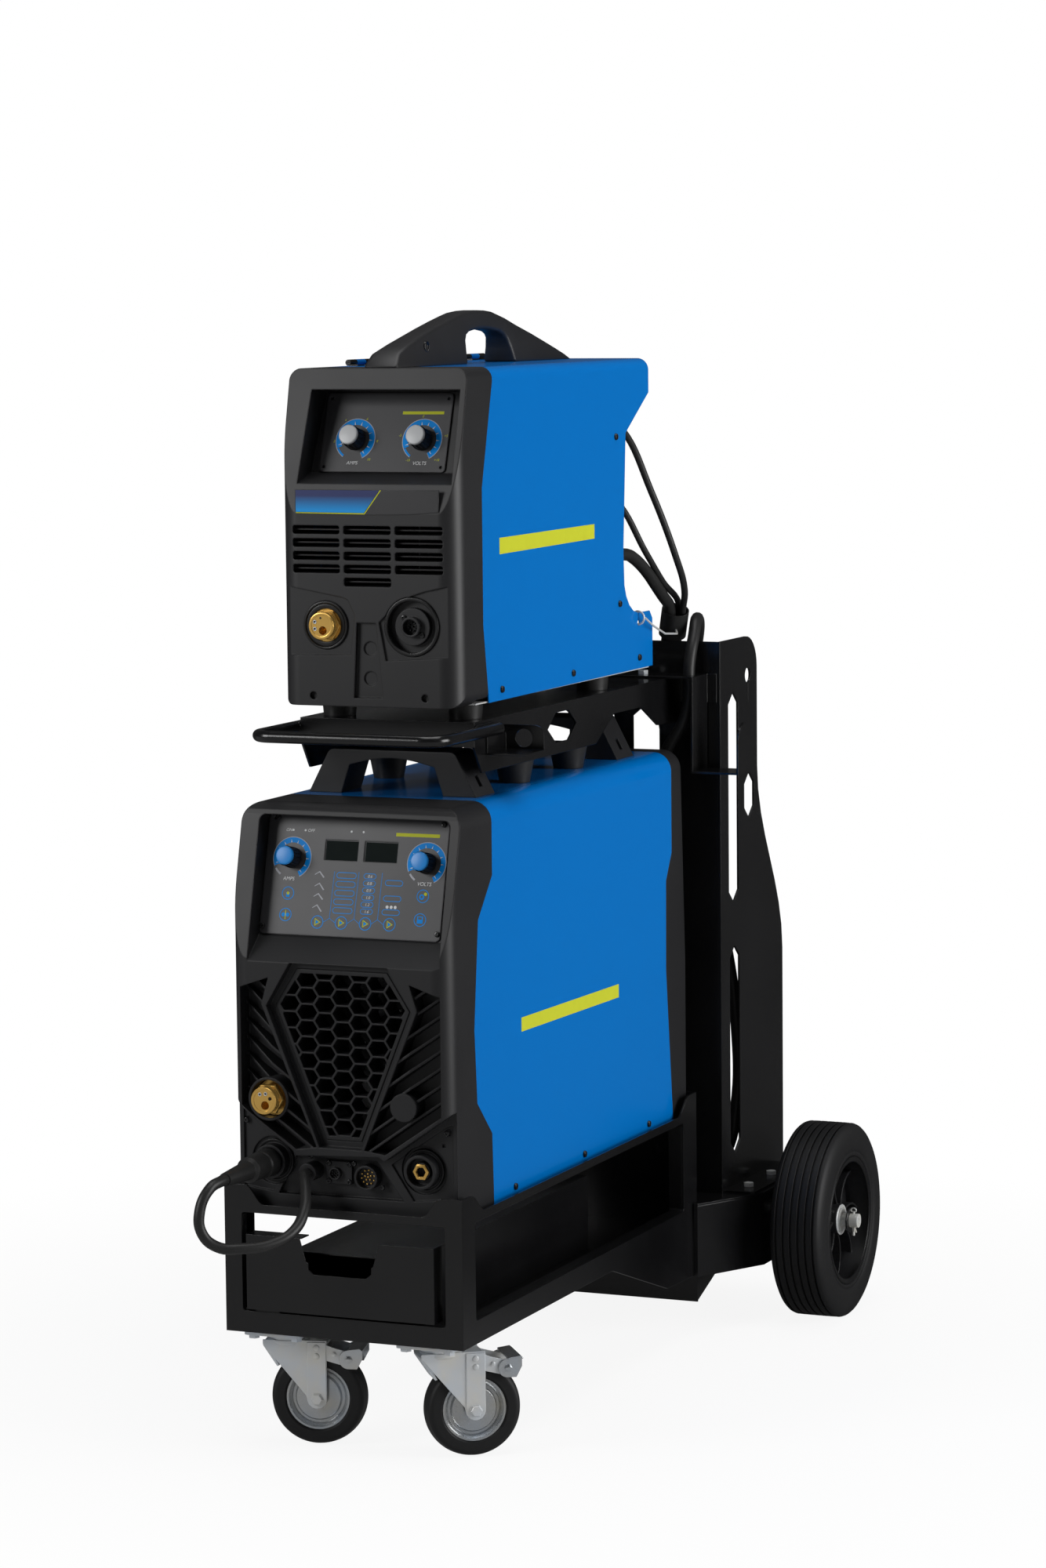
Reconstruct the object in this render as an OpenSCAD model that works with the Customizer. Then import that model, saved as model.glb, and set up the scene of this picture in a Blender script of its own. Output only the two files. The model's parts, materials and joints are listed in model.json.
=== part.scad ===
// Twin-unit MIG welding set on a steel cart: power source, wire feeder and gas cylinder rack.
// Units are millimetres. +X is the right hand of someone facing the control panels,
// +Y runs from the front to the gas rack and +Z is up. The origin lies on the floor
// under the middle of the set. Modules measure Y from the front face of the cart base.

/* [Power source] */
// Width of the power source
ps_w = 304; // [280:2:380]
// Height of the power source
ps_h = 520; // [500:2:640]
// Length of the power source, front face to the back of its rear moulding
ps_l = 818; // [780:2:1000]
// Radius of the top edges of the power source
ps_edge_r = 26; // [12:1:30]
// Thickness of the steel covers
skin = 1.6; // [1.2:0.1:3]
// Depth of the recess that holds the rear fittings
ps_rear_recess = 78; // [60:1:90]
// Column pitch of the honeycomb grille
cell_col = 24.6; // [18:0.2:32]
// Row pitch of the honeycomb grille
cell_row = 20.8; // [15:0.2:28]
// Wall between two honeycomb cells
cell_wall = 2.4; // [1.6:0.2:4]
// Vertical pitch of the cooling fins beside the grille
fin_pitch = 22; // [14:1:30]
// Radius of the cooling fan
fan_r = 66; // [50:1:70]
// Height of the carrying handles over the case
ps_handle_h = 57; // [50:1:60]

/* [Wire feeder] */
// Width of the feeder
fd_w = 248; // [240:2:300]
// Height of the feeder case
fd_h = 428; // [420:2:520]
// Length of the feeder from its front face to its rear panel
fd_l = 560; // [550:2:600]
// How far the side plates reach behind the rear panel
fd_ear = 108; // [100:2:120]
// Distance from the front of the cart to the feeder's front face
fd_y = 102; // [90:2:110]
// Radius of the top edges of the feeder
fd_edge_r = 16; // [8:1:20]
// Radius of a wire spool
spool_r = 148; // [100:2:150]
// Width of a wire spool
spool_w = 100; // [80:1:103]
// Radius of the drive roll and the pressure roll
roll_r = 15; // [12:0.5:18]
// Height of the handle over the feeder
fd_handle_h = 70; // [60:1:90]

/* [Cart base] */
// Thickness of the cart's sheet steel
plate = 3; // [2:0.5:4]
// Free gap between the power source and each side panel
side_gap = 11; // [6:1:20]
// Height of the underside of the base over the floor
base_z = 155; // [150:1:180]
// Height of the bottom rail
rail_h = 30; // [26:1:40]
// Height of the openings in the base
bay_h = 126; // [120:1:160]
// Height of the top rail
top_rail = 11; // [8:1:20]
// Height of the corner ears over the top rail
ear_h = 25; // [15:1:40]
// Width of the corner posts of the front opening
post_w = 24; // [18:1:32]
// Length of the drawer housing
housing_l = 590; // [400:10:700]
// Outside width of the drawer housing
housing_w = 168; // [140:2:200]
// Height of the drawer housing
housing_h = 102; // [90:1:105]

/* [Gas rack and platform] */
// Distance from the base to the rack
rack_gap = 63; // [60:1:80]
// Outside width of the rack
rack_w = 362; // [340:2:400]
// Height of the rack over the platform
rack_h = 790; // [780:5:900]
// Depth of the rack at its foot
rack_d = 255; // [240:5:258]
// Depth of the rack at its top
rack_top_d = 151; // [145:1:180]
// Width of the pointed slots
slot_w = 40; // [30:1:42]
// Width of the platform
deck_w = 466; // [440:2:480]
// Height of the platform over the floor
deck_z = 190; // [186:1:220]

/* [Rear wheels] */
// Outside diameter of a rear wheel
rear_d = 280; // [250:2:300]
// Width of a rear tyre
rear_w = 80; // [60:1:88]
// Diameter of the rim
rim_d = 184; // [150:2:200]
// Diameter of the axle
axle_d = 20; // [16:0.5:24]
// Distance from the back of the base to the axle
axle_back = 180; // [170:2:200]

/* [Castors] */
// Outside diameter of a castor wheel
castor_d = 125; // [100:1:125]
// Width of a castor tyre
castor_w = 36; // [28:1:40]
// Distance from the swivel axis to the wheel axis
trail = 40; // [34:1:44]
// Distance from the outer face of the base to the swivel axis
castor_in = 59; // [54:1:70]
// Resting angle of the left castor
castor_turn_l = 15; // [0:1:30]
// Resting angle of the right castor
castor_turn_r = 37; // [15:1:45]

/* [Feeder shelf] */
// Width of the shelf
shelf_w = 245; // [236:1:300]
// Depth of the shelf's folded sides
shelf_h = 67; // [60:1:80]
// Distance from the front of the cart to the front of the shelf
shelf_y = 154; // [140:2:170]
// Height of the rubber cones under the shelf
cone_h = 31; // [28:1:45]
// Diameter of the round bar of the push handle
bar_d = 15.5; // [12:0.5:18]
// How far the push handle stands in front of the shelf
bar_reach = 126; // [80:2:130]

/* [Cords] */
// Diameter of the polarity lead
lead_d = 14; // [10:0.5:16]
// Diameter of the welding cable
weld_d = 17; // [12:0.5:18]
// Diameter of the gas hose
hose_d = 9.5; // [8:0.5:11]
// Diameter of the control cable
control_d = 9; // [6:0.5:11]

/* [Hidden] */
$fn = 48;
fit = 0.05;                              // radial clearance of a running shaft
gap = 0.3;                               // gap between curved faces of different bodies

base_w = ps_w + 2 * (side_gap + plate);
base_l = ps_l + 2;
base_x = base_w / 2;
floor_z = base_z + plate;                // top of the base floor
rail_z = base_z + rail_h;                // top of the bottom rail
bay_top = rail_z + bay_h;                // underside of the top rail
seat_z = bay_top + plate;                // face that carries the power source
rail_top = bay_top + top_rail;
ear_z = rail_top + ear_h;
door_x = base_x - post_w;                // half width of the front opening
gusset_z = base_z - 70;                  // lowest edge of the rear gussets

ps_y = -2;                               // front face of the power source
ps_x = ps_w / 2;
ps_z = seat_z;
ps_top = ps_z + ps_h;
ps_back = ps_y + ps_l;
ps_panel_y = ps_back - ps_rear_recess;   // rear panel inside its recess
ps_low_y = ps_y + 22;                    // set-back face with the sockets
face_y = ps_y + 35;                      // foot of the control panel
face_z = ps_z + 352;
face_l = 156;                            // slant height of the control panel
ps_lean = 14.5;
grille_y = ps_y + 12;                    // front of the honeycomb
ps_block = ps_y + 52;                    // back of the moulding's solid front wall
socket_z = ps_z + 63;
torch_z = ps_z + 146;
torch_x = 100;
knob_x = [-89, 98.5];                    // current knob and voltage knob
knob_up = 99;                            // knob axes over the foot of the panel
fan_z = ps_z + 210;
fan_y = ps_block + 22;

fd_x = fd_w / 2;
shelf_z = ps_top + cone_h + shelf_h;     // top face of the feeder shelf
foot_h = 21;
fd_z = shelf_z + foot_h;
fd_top = fd_z + fd_h;
fd_back = fd_y + fd_l;
dial_y = fd_y + 48;                      // foot of the feeder's control panel
dial_z = fd_z + 295;
dial_l = 107;
fd_lean = 18.6;
fd_knob_x = [-42, 51.5];
fd_knob_up = 43.3;
fd_block = fd_y + 62;
wire_x = -60;                            // line of the welding wire
wire_z = fd_z + 103;
wall_x = 18;                             // wall between wire bay and electronics
spool_x = wall_x - 22 - spool_w / 2;
spool_y = fd_back - spool_r - 14;
spool_z = fd_z + spool_r + 72;
roll_y = fd_y + 138;
hinge_x = -(fd_x - 24);
hinge_z = fd_top + 4.5;
hinge_y = [fd_y + 164, fd_y + 535];

rack_y = base_l + rack_gap;
rack_x = rack_w / 2;
rack_top = deck_z + rack_h;
rack_back = rack_y + rack_d;
axle_y = base_l + axle_back;
axle_z = rear_d / 2;
deck_x = deck_w / 2;
deck_end = rack_back - 4;
strap_l = 58;                            // cross strap, front to back
strap_y = rack_y - plate - strap_l;
shelf_end = strap_y + strap_l;
shelf_x = shelf_w / 2;

wheel_x = deck_x + 23;                   // inner face of a rear tyre
hub_in = 12;                             // hub beyond the tyre, inside
hub_out = rear_w - 17;                   // outer face of the hub, from the tyre's inner face
axle_end = wheel_x + rear_w + 10;
seam = 0.15;                             // welded seam between two sheets of one piece

torch_out = 14;                          // how far the torch socket stands out
cart_y = -(axle_y + rear_d / 2 + ps_y - torch_out) / 2;

castor_x = base_x - castor_in;
castor_y = 61;
castor_z = castor_d / 2;
plate_z = base_z - 6;                    // underside of the castor's top plate
head_z = plate_z - 10;                   // top of the swivel head
fork_in = castor_w / 2 + 3;              // inner face of a fork leg
fork_t = 2.5;
brake_x = trail + 42;                    // brake pivot, along the trail
brake_z = castor_z + 53;

tab_l = 14;                              // tabs of the drawer housing
tab_y = [for (i = [0:3]) 190 + 104 * i];

steel_black = [0.07, 0.07, 0.08];
moulding = [0.1, 0.1, 0.11];
blue = [0, 0.42, 0.73];
zinc = [0.75, 0.78, 0.8];
brass = [0.8, 0.6, 0.22];
rubber = [0.13, 0.13, 0.13];

// Boundary between the black mouldings and the blue covers, drawn in Y and Z
ps_front_edge = [[134, 0], [130, 95], [84, 141], [77, 236], [92, 374], [138, 426], [138, ps_h]];
ps_rear_edge = [for (p = [[54, ps_h], [54, 380], [76, 343], [78, 217], [55, 7], [55, 0]])
    [base_l - p[0], p[1]]];
fd_front_edge = [[97, 0], [81, 100], [81, 275], [117, 410], [117, fd_h]];
fd_rear_edge = concat([[fd_ear, 2], [fd_ear, 68], [fd_ear - 10, 79], [fd_ear - 55, 79]],
    arc([fd_ear - 50, 134], 55, 265, 195, 4),
    [[2, 166], [13, 328], [fd_ear - 9, 381], [fd_ear - 9, fd_h]]);
louvre_outline = [[139, 136], [139, 288], [98, 302], [108, 268], [33, 88], [62, 84]];

// Cord routes in the cart frame, as drawn for a case whose rear panels stand at these places
fd_shift = [0, fd_back - 662, fd_z - 953];
lead_shift = [0, 0, ps_z - 314];
ps_shift = [0, ps_panel_y - 738, ps_z - 314];
rack_shift = [0, rack_y - 883, rack_top - 980];
hook_shift = [fd_x - 124, fd_back - 662, fd_z - 953];
lead_route = [[-105, -118, 377], [-105, -127, 377], [-110, -150, 371], [-116, -166, 346],
    [-113, -167, 318], [-97, -157, 300], [-72, -138, 296], [-46, -110, 298], [-29, -80, 310],
    [-27, -54, 330], [-36, -30, 350], [-46, -12, 363], [-50, -4, 367], [-50, 4, 367]];
weld_route = [[100, 706, 1112], [100, 716, 1112], [103, 744, 1108], [113, 838, 1047],
    [110, 872, 1027], [104, 886, 1005], [97, 895, 981], [86, 908, 936], [74, 934, 880],
    [76, 962, 808], [97, 977, 725], [147, 980, 555], [167, 980, 420],
    [166, 980, 300], [145, 980, 224], [117, 978, 204], [86, 976, 226], [68, 976, 300],
    [57, 986, 520], [57, 1000, 740], [72, 1004, 860], [97, 992, 932], [121, 958, 990],
    [137, 908, 1010], [145, 874, 985], [146, 857, 956], [146, 853, 936], [146, 853, 908],
    [138, 851, 870], [112, 850, 825], [95, 860, 725], [92, 862, 590], [92, 850, 534],
    [92, 832, 514], [92, 818, 508], [92, 808, 508]];
control_route = [[84, 694, 1191], [84, 704, 1191], [88, 730, 1184], [109, 786, 1110],
    [116, 830, 1068], [119, 888, 1028], [106, 907, 983], [97, 925, 930], [80, 926, 790],
    [65, 898, 710], [55, 862, 625], [47, 850, 512], [45, 834, 466], [45, 804, 447], [45, 792, 447]];
hose_route = [[96, 692, 1290], [96, 702, 1290], [99, 726, 1283], [118, 784, 1196], [140, 818, 1106],
    [141, 850, 1058], [127, 880, 1025], [112, 900, 978], [109, 917, 925],
    [100, 924, 820], [82, 904, 700], [70, 864, 642], [66, 820, 624], [66, 780, 620],
    [66, 768, 620]];
hook_route = [[133, 720, 1025], [134, 745, 1013], [131, 800, 997], [123.3, 866.1, 991.8],
    [118.6, 874, 996.3]];
wrap_at = [110, 888.6, 1006.6];
wrap_dir = [-0.264, 0.352, -0.898];

// ---- Helpers ----

module at_cart() translate([0, cart_y, 0]) children();

// A flat outline drawn in Y and Z, standing at x and t thick
module yz(x, t) translate([x, 0, 0]) rotate([90, 0, 90]) linear_extrude(t) children();

// A flat outline drawn in X and Z, standing at y and t thick
module xz(y, t) translate([0, y + t, 0]) rotate([90, 0, 0]) linear_extrude(t) children();

// Rods along X and Y
module xrod(r, x0, x1) translate([x0, 0, 0]) rotate([0, 90, 0]) cylinder(r = r, h = x1 - x0);
module yrod(r, y0, y1) translate([0, y0, 0]) rotate([-90, 0, 0]) cylinder(r = r, h = y1 - y0);

module both_sides() {
    children();
    mirror([1, 0, 0]) children();
}

// Box between two corners
module block(a, b) translate(a) cube(b - a);

// Rounded rectangle from corner a to corner b
module rrect(a, b, r) {
    translate([a[0] + r, a[1]]) square([b[0] - a[0] - 2 * r, b[1] - a[1]]);
    translate([a[0], a[1] + r]) square([b[0] - a[0], b[1] - a[1] - 2 * r]);
    for (x = [a[0] + r, b[0] - r], y = [a[1] + r, b[1] - r]) translate([x, y]) circle(r);
}

// Rectangle with only its two upper corners round
module arch(half, z0, z1, r) {
    translate([-half, z0]) square([2 * half, z1 - z0 - r]);
    translate([-half + r, z0]) square([2 * half - 2 * r, z1 - z0]);
    for (s = [-1, 1]) translate([s * (half - r), z1 - r]) circle(r);
}

// Upright slot with a point at each end
function pointed(c, z0, z1, w) = let(p = w * 0.42)
    [[c, z0], [c + w / 2, z0 + p], [c + w / 2, z1 - p], [c, z1], [c - w / 2, z1 - p], [c - w / 2, z0 + p]];

// Smooth change of height from a to b between y0 and y1
function fall(y0, y1, a, b, n = 8) =
    [for (i = [0:n]) [y0 + (y1 - y0) * i / n, b + (a - b) * (1 + cos(180 * i / n)) / 2]];

function swapped(p) = [for (q = p) [q[1], q[0]]];
function mirrored(p) = [for (i = [len(p) - 1:-1:0]) [-p[i][0], p[i][1]]];
function arc(c, r, a0, a1, n = 8) = [for (i = [0:n]) let(a = a0 + (a1 - a0) * i / n)
    [c[0] + r * cos(a), c[1] + r * sin(a)]];

function cross_unit(a, b) = let(c = cross(a, b)) c / norm(c);

// Point on the smooth curve through a route, between points 1 and 2 of p
function curve_at(p, t) = 0.5 * (2 * p[1] + t * (p[2] - p[0])
    + t * t * (2 * p[0] - 5 * p[1] + 4 * p[2] - p[3])
    + t * t * t * (3 * p[1] - p[0] - 3 * p[2] + p[3]));

function smooth(route, n) = let(k = len(route), r = concat([2 * route[0] - route[1]], route,
    [2 * route[k - 1] - route[k - 2]]))
    concat([for (i = [0:k - 2], j = [0:n - 1]) curve_at([for (m = [0:3]) r[i + m]], j / n)],
    [route[k - 1]]);

function tangents(p) = let(n = len(p)) [for (i = [0:n - 1])
    let(d = p[min(i + 1, n - 1)] - p[max(i - 1, 0)]) d / norm(d)];

// Side vector carried along the tangents without twisting
function carried(t, i) = i == 0 ? cross_unit(t[0], [0.31, 0.12, 0.94])
    : let(u = carried(t, i - 1), w = u - t[i] * (u * t[i])) w / norm(w);

// Route whose start is moved by a and whose end is moved by b
function moved(route, a, b) = let(n = len(route) - 1)
    [for (i = [0:n]) route[i] + a * (1 - i / n) + b * i / n];

// Round cord of diameter d swept along a route; steps is the number of rings for each point
module cord(route, d, sides = 8, steps = 1) {
    p = smooth(route, steps);
    t = tangents(p);
    n = len(p);
    ring = [for (i = [0:n - 1]) let(u = carried(t, i), v = cross(t[i], u))
        for (k = [0:sides - 1]) p[i] + d / 2 * (cos(360 * k / sides) * u + sin(360 * k / sides) * v)];
    walls = [for (i = [0:n - 2], k = [0:sides - 1], h = [0, 1]) let(a = i * sides + k,
        b = i * sides + (k + 1) % sides) h == 0 ? [a, a + sides, b] : [b, a + sides, b + sides]];
    caps = [for (k = [1:sides - 2], h = [0, 1], e = (n - 1) * sides) h == 0 ? [0, k, k + 1]
        : [e, e + k + 1, e + k]];
    polyhedron(ring, concat(walls, caps));
}

// Hexagon-headed bolt pointing down, its head on z = 0
module bolt(af, shank_r, l) {
    cylinder(r = af / 2 / cos(30), h = af * 0.42, $fn = 6);
    translate([0, 0, -l]) cylinder(r = shank_r, h = l + 0.1);
}

// ---- Cart base ----

module side_outline() {
    window = [[post_w + 17, rail_z], [base_l - 51, bay_top]];
    difference() {
        polygon(concat([[0, base_z], [base_l - 319, base_z], [base_l - 115, gusset_z + 3],
            [base_l, gusset_z], [base_l, ear_z], [base_l - 25, ear_z]],
            fall(base_l - 27, base_l - 68, ear_z, rail_top), fall(73, 30, rail_top, ear_z), [[0, ear_z]]));
        rrect(window[0], window[1], 5);
    }
}

module end_outline() {
    right = concat([[base_x, base_z], [base_x, ear_z], [base_x - 27, ear_z]],
        fall(base_x - 29, base_x - 56, ear_z, rail_top));
    polygon(concat(right, mirrored(right)));
}

module base_frame() color(steel_black) at_cart() difference() {
    x = base_x - plate - seam;
    union() {
        both_sides() yz(base_x - plate, plate) intersection() {
            side_outline();
            translate([plate + seam, 0]) square([base_l - 2 * plate - 2 * seam, ear_z]);
        }
        xz(0, plate) difference() {
            end_outline();
            rrect([-door_x, rail_z - 2], [door_x, bay_top], 4);
        }
        xz(base_l - plate, plate) end_outline();
        block([-x, plate + seam, base_z], [x, base_l - plate - seam, floor_z]);
        // Folded edges round the side and front openings and under the power source
        both_sides() yz(x - 19, 19) difference() {
            rrect([post_w + 14, rail_z - plate], [base_l - 48, seat_z], 6);
            rrect([post_w + 17, rail_z], [base_l - 51, bay_top], 5);
        }
        xz(plate + seam, 12) difference() {
            rrect([-door_x - plate, rail_z - 5], [door_x + plate, seat_z], 6);
            rrect([-door_x, rail_z - 2], [door_x, bay_top], 4);
        }
        for (y = [16, base_l - 28 - plate - seam]) block([19 + seam - x, y, bay_top],
            [x - 19 - seam, y + 28, seat_z]);
    }
    // Cable hole in the back, castor bolt holes and slots for the housing tabs
    translate([base_x - 52, base_l - 10, base_z + 111]) yrod(7, 0, 20);
    both_sides() for (x = [-30, 30], y = [-40, 40])
        translate([castor_x + x, castor_y + y, base_z - 1]) cylinder(r = 4.5, h = plate + 2);
    both_sides() for (y = tab_y) block([housing_w / 2 - 2.3, y - 0.3, base_z - 1],
        [housing_w / 2 + 0.3, y + tab_l + 0.3, floor_z + 1]);
}

module drawer_housing() color(steel_black) at_cart() {
    x = housing_w / 2;
    z1 = floor_z + housing_h;
    difference() {
        block([-x, 24, floor_z], [x, 24 + housing_l, z1]);
        block([-x + 2, 23, floor_z - 1], [x - 2, 22 + housing_l, z1 - 2]);
    }
    both_sides() {
        block([x - 13, 24, rail_z], [x - 2, 22 + housing_l, rail_z + 2]);
        block([x, 24, floor_z], [x + 18, 26, z1]);
        for (y = tab_y) block([x - 2, y, base_z], [x, y + tab_l, floor_z]);
    }
}

module drawer() color(steel_black) at_cart() {
    x = housing_w / 2 - 4;
    z0 = rail_z + 2 + gap;
    z1 = floor_z + housing_h - 6;
    front = door_x - 11;
    difference() {
        block([-front, -10, z0 + 0.5], [front, 15, bay_top - 26]);
        block([-front + 1.5, -8.5, z0 + 2], [front - 1.5, 16, bay_top - 27.5]);
        xz(-11, 4) polygon([[-36, z0 + 52], [36, z0 + 52], [44, z0 + 58], [56, bay_top - 25],
            [-56, bay_top - 25], [-44, z0 + 58]]);
        block([-54, -9, bay_top - 30], [54, 16, bay_top - 25]);
    }
    difference() {
        block([-x, -9, z0], [x, 10 + housing_l, z1]);
        block([-x + 1.5, -7.5, z0 + 1.5], [x - 1.5, 8.5 + housing_l, z1 + 1]);
        xz(-11, 4) polygon([[-36, z0 + 52], [36, z0 + 52], [44, z0 + 58], [44, z1 + 1], [-44, z1 + 1],
            [-44, z0 + 58]]);
    }
}

// ---- Gas platform and rack ----

module gas_platform() color(steel_black) at_cart() difference() {
    wing_y = rack_y + 30;
    y0 = base_l + 0.2;
    y1 = y0 + plate + seam;
    low = deck_z - plate - seam;
    edge = [[base_x + 2, wing_y - 111], [base_x + 8, wing_y - 111], [deck_x, wing_y]];
    union() {
        right = concat([[base_x + 2, y0]], edge, [[deck_x, deck_end]]);
        translate([0, 0, deck_z - plate]) linear_extrude(plate) polygon(concat(right, mirrored(right)));
        both_sides() {
            translate([0, 0, gusset_z]) linear_extrude(low - gusset_z) polygon([edge[0], edge[1],
                edge[2], edge[2] - [plate, 0], edge[1] - [plate, -4], edge[0] + [0, 4]]);
            yz(deck_x - plate, plate) polygon([[wing_y + seam, gusset_z], [deck_end - 40, gusset_z],
                [deck_end, gusset_z + 40], [deck_end, low], [wing_y + seam, low]]);
            yz(base_x - plate, plate) polygon([[y1, 47], [base_l + 140, 95], [axle_y + 45, 95],
                [axle_y + 45, low], [y1, low]]);
            translate([0, axle_y, axle_z]) xrod(axle_d / 2 + 6, base_x + seam, deck_x - plate - seam);
        }
        block([-base_x, y0, 45], [base_x, y0 + plate, low]);
        translate([0, axle_y, axle_z]) xrod(axle_d / 2 + 6, plate + seam - base_x, base_x - plate - seam);
    }
    translate([0, axle_y, axle_z]) xrod(axle_d / 2 + gap, -deck_x - 1, deck_x + 1);
    both_sides() for (y = [51, 145]) translate([rack_x + 21, rack_y + y, deck_z - 5]) cylinder(r = 5, h = 9);
}

module rack_side() difference() {
    polygon(concat([[rack_y, deck_z], [rack_back, deck_z]],
        swapped(fall(deck_z + 320, deck_z + rack_h - 190, rack_back, rack_y + rack_top_d)),
        arc([rack_y + rack_top_d - 45, rack_top - 45], 45, 0, 90), [[rack_y, rack_top]]));
    polygon(pointed(rack_y + 55, deck_z + 50, deck_z + 351, slot_w));
    polygon(pointed(rack_y + 53, deck_z + 413, deck_z + 715, slot_w));
    polygon(pointed(rack_y + 117, deck_z + 527, deck_z + 595, slot_w));
    translate([rack_y + 113, deck_z + 734]) circle(11);
    translate([rack_y + 111.5, deck_z + 698]) square([3, 34]);
}

module gas_rack() color(steel_black) at_cart() difference() {
    union() {
        both_sides() {
            yz(rack_x - plate, plate) intersection() {
                rack_side();
                translate([rack_y + plate + seam, 0]) square([rack_d, rack_top]);
            }
            block([rack_x + seam, rack_y + 11, deck_z], [rack_x + 44, rack_y + 243, deck_z + plate]);
        }
        block([-rack_x, rack_y, deck_z], [rack_x, rack_y + plate, rack_top]);
    }
    for (i = [-1:1]) xz(rack_y - 1, plate + 2)
        polygon(pointed(i * 69, deck_z + 413, deck_z + 699, slot_w));
    both_sides() for (y = [51, 145]) translate([rack_x + 21, rack_y + y, deck_z - 1]) cylinder(r = 5, h = 9);
}

module wheel_axle() color(zinc) at_cart() translate([0, axle_y, axle_z]) difference() {
    union() {
        xrod(axle_d / 2, -axle_end, axle_end);
        both_sides() {
            xrod(axle_d / 2 + 6, deck_x + gap, wheel_x - hub_in - gap);
            xrod(axle_d / 2 + 7, wheel_x + hub_out + gap, wheel_x + hub_out + 3);
            translate([axle_end - 8, 0, -axle_d / 2 - 12]) cylinder(r = 2, h = axle_d + 15);
        }
    }
    both_sides() xrod(3, axle_end - 3, axle_end + 1);
}

// ---- Shelf ----

module feeder_shelf() color(steel_black) at_cart() {
    low = shelf_z - shelf_h;
    lip_y = shelf_y + 154;
    difference() {
        block([-shelf_x, shelf_y, shelf_z - plate], [shelf_x, shelf_end, shelf_z]);
        both_sides() translate([shelf_x - 45, strap_y + 29, shelf_z - 5]) cylinder(r = 4.5, h = 15);
    }
    block([-shelf_x, shelf_y, shelf_z - 32], [shelf_x, shelf_y + plate, shelf_z]);
    both_sides() {
        yz(shelf_x - plate, plate) difference() {
            polygon([[shelf_y, shelf_z], [shelf_y, shelf_z - 32], [shelf_y + 24, low], [lip_y + 255, low],
                [lip_y + 321, low + 35], [lip_y + 421, low + 35], [lip_y + 484, low + 4],
                [shelf_end, low + 2], [shelf_end, shelf_z]]);
            translate([lip_y + 137, low + 35]) polygon([[-50, 0], [-22, -20], [22, -20], [50, 0], [22, 20],
                [-22, 20]]);
        }
        block([shelf_x - 60, lip_y, low], [shelf_x, lip_y + 255, low + plate]);
    }
}

module shelf_handle() color(steel_black) at_cart() translate([0, shelf_y, shelf_z - 13]) {
    r = bar_d / 2;
    x = shelf_x + r;
    bend = 26;
    both_sides() {
        translate([x, 0, 0]) yrod(r, bend - bar_reach, 62);
        translate([x - bend, bend - bar_reach, 0]) rotate([0, 0, -90]) rotate_extrude(angle = 90)
            translate([bend, 0]) circle(r, $fn = 32);
    }
    translate([0, -bar_reach, 0]) xrod(r, bend - x, x - bend);
}

module torch_holder() color(steel_black) at_cart() {
    t = 2.5;
    z = shelf_z - 45;
    y0 = shelf_y + 36;
    y1 = y0 + 62;
    block([shelf_x, y0, z], [shelf_x + t, y1, z + 24]);
    block([shelf_x, y0, z], [shelf_x + 56, y1, z + t]);
    xz(y1 - t, t) difference() {
        union() {
            translate([shelf_x, z]) square([56, 20]);
            translate([shelf_x, z]) square([43, 34]);
            translate([shelf_x + 42, z + 20]) circle(14);
        }
        translate([shelf_x + 28, z + 17]) circle(12);
    }
}

module lead_hanger() color(steel_black) at_cart() difference() {
    x = ps_x + 11;
    z = ps_top - 35;
    union() {
        block([-x, strap_y, shelf_z], [x, shelf_end, shelf_z + plate]);
        block([x - plate, strap_y, z], [x, shelf_end, shelf_z + 1]);
        block([x - plate, strap_y, z], [x + 68, shelf_end, z + plate]);
        yz(x + 65, plate) arch_tab(strap_y, shelf_end, z, z + 72);
        block([-rack_x + 4, shelf_end, shelf_z - 38], [rack_x - 4, rack_y, shelf_z + plate]);
    }
    translate([146, strap_y + 31, shelf_z - 5]) cylinder(r = weld_d / 2 + 2, h = 15);
    both_sides() translate([shelf_x - 45, strap_y + 29, shelf_z - 5]) cylinder(r = 4.5, h = 15);
}

module arch_tab(y0, y1, z0, z1) {
    r = (y1 - y0) / 2;
    translate([y0, z0]) square([2 * r, z1 - z0 - r]);
    translate([y0 + r, z1 - r]) circle(r);
}

module rubber_feet() color(rubber) at_cart() both_sides() {
    for (y = [356, 540]) translate([91, y, ps_top]) cylinder(r1 = 20, r2 = 26, h = cone_h);
    for (y = [fd_y + 101, fd_y + 530]) translate([fd_x - 35, y, shelf_z])
        cylinder(r1 = 21, r2 = 23, h = foot_h);
}

module fasteners() color(zinc) at_cart() both_sides() {
    for (y = [51, 145]) translate([rack_x + 21, rack_y + y, deck_z + plate]) bolt(13, 4, plate * 2 + 6);
    for (x = [-30, 30], y = [-40, 40]) translate([castor_x + x, castor_y + y, plate_z]) rotate([180, 0, 0])
        bolt(13, 4, 13);
    translate([shelf_x - 45, strap_y + 29, shelf_z + plate]) bolt(13, 4, 14);
}

// ---- Castors ----

module castor_plates() color(zinc) at_cart() both_sides() translate([castor_x, castor_y, 0]) {
    difference() {
        union() {
            translate([0, 0, plate_z]) linear_extrude(6) rrect([-40, -52], [40, 52], 6);
            translate([0, 0, head_z + gap]) cylinder(r = 26, h = plate_z - head_z);
        }
        for (x = [-30, 30], y = [-40, 40]) translate([x, y, plate_z - 1]) cylinder(r = 4.5, h = 8);
    }
    translate([0, 0, head_z - 18]) cylinder(r = 5, h = 20);
    translate([0, 0, head_z - 18]) cylinder(r = 9, h = 5.7, $fn = 6);
}

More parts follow.
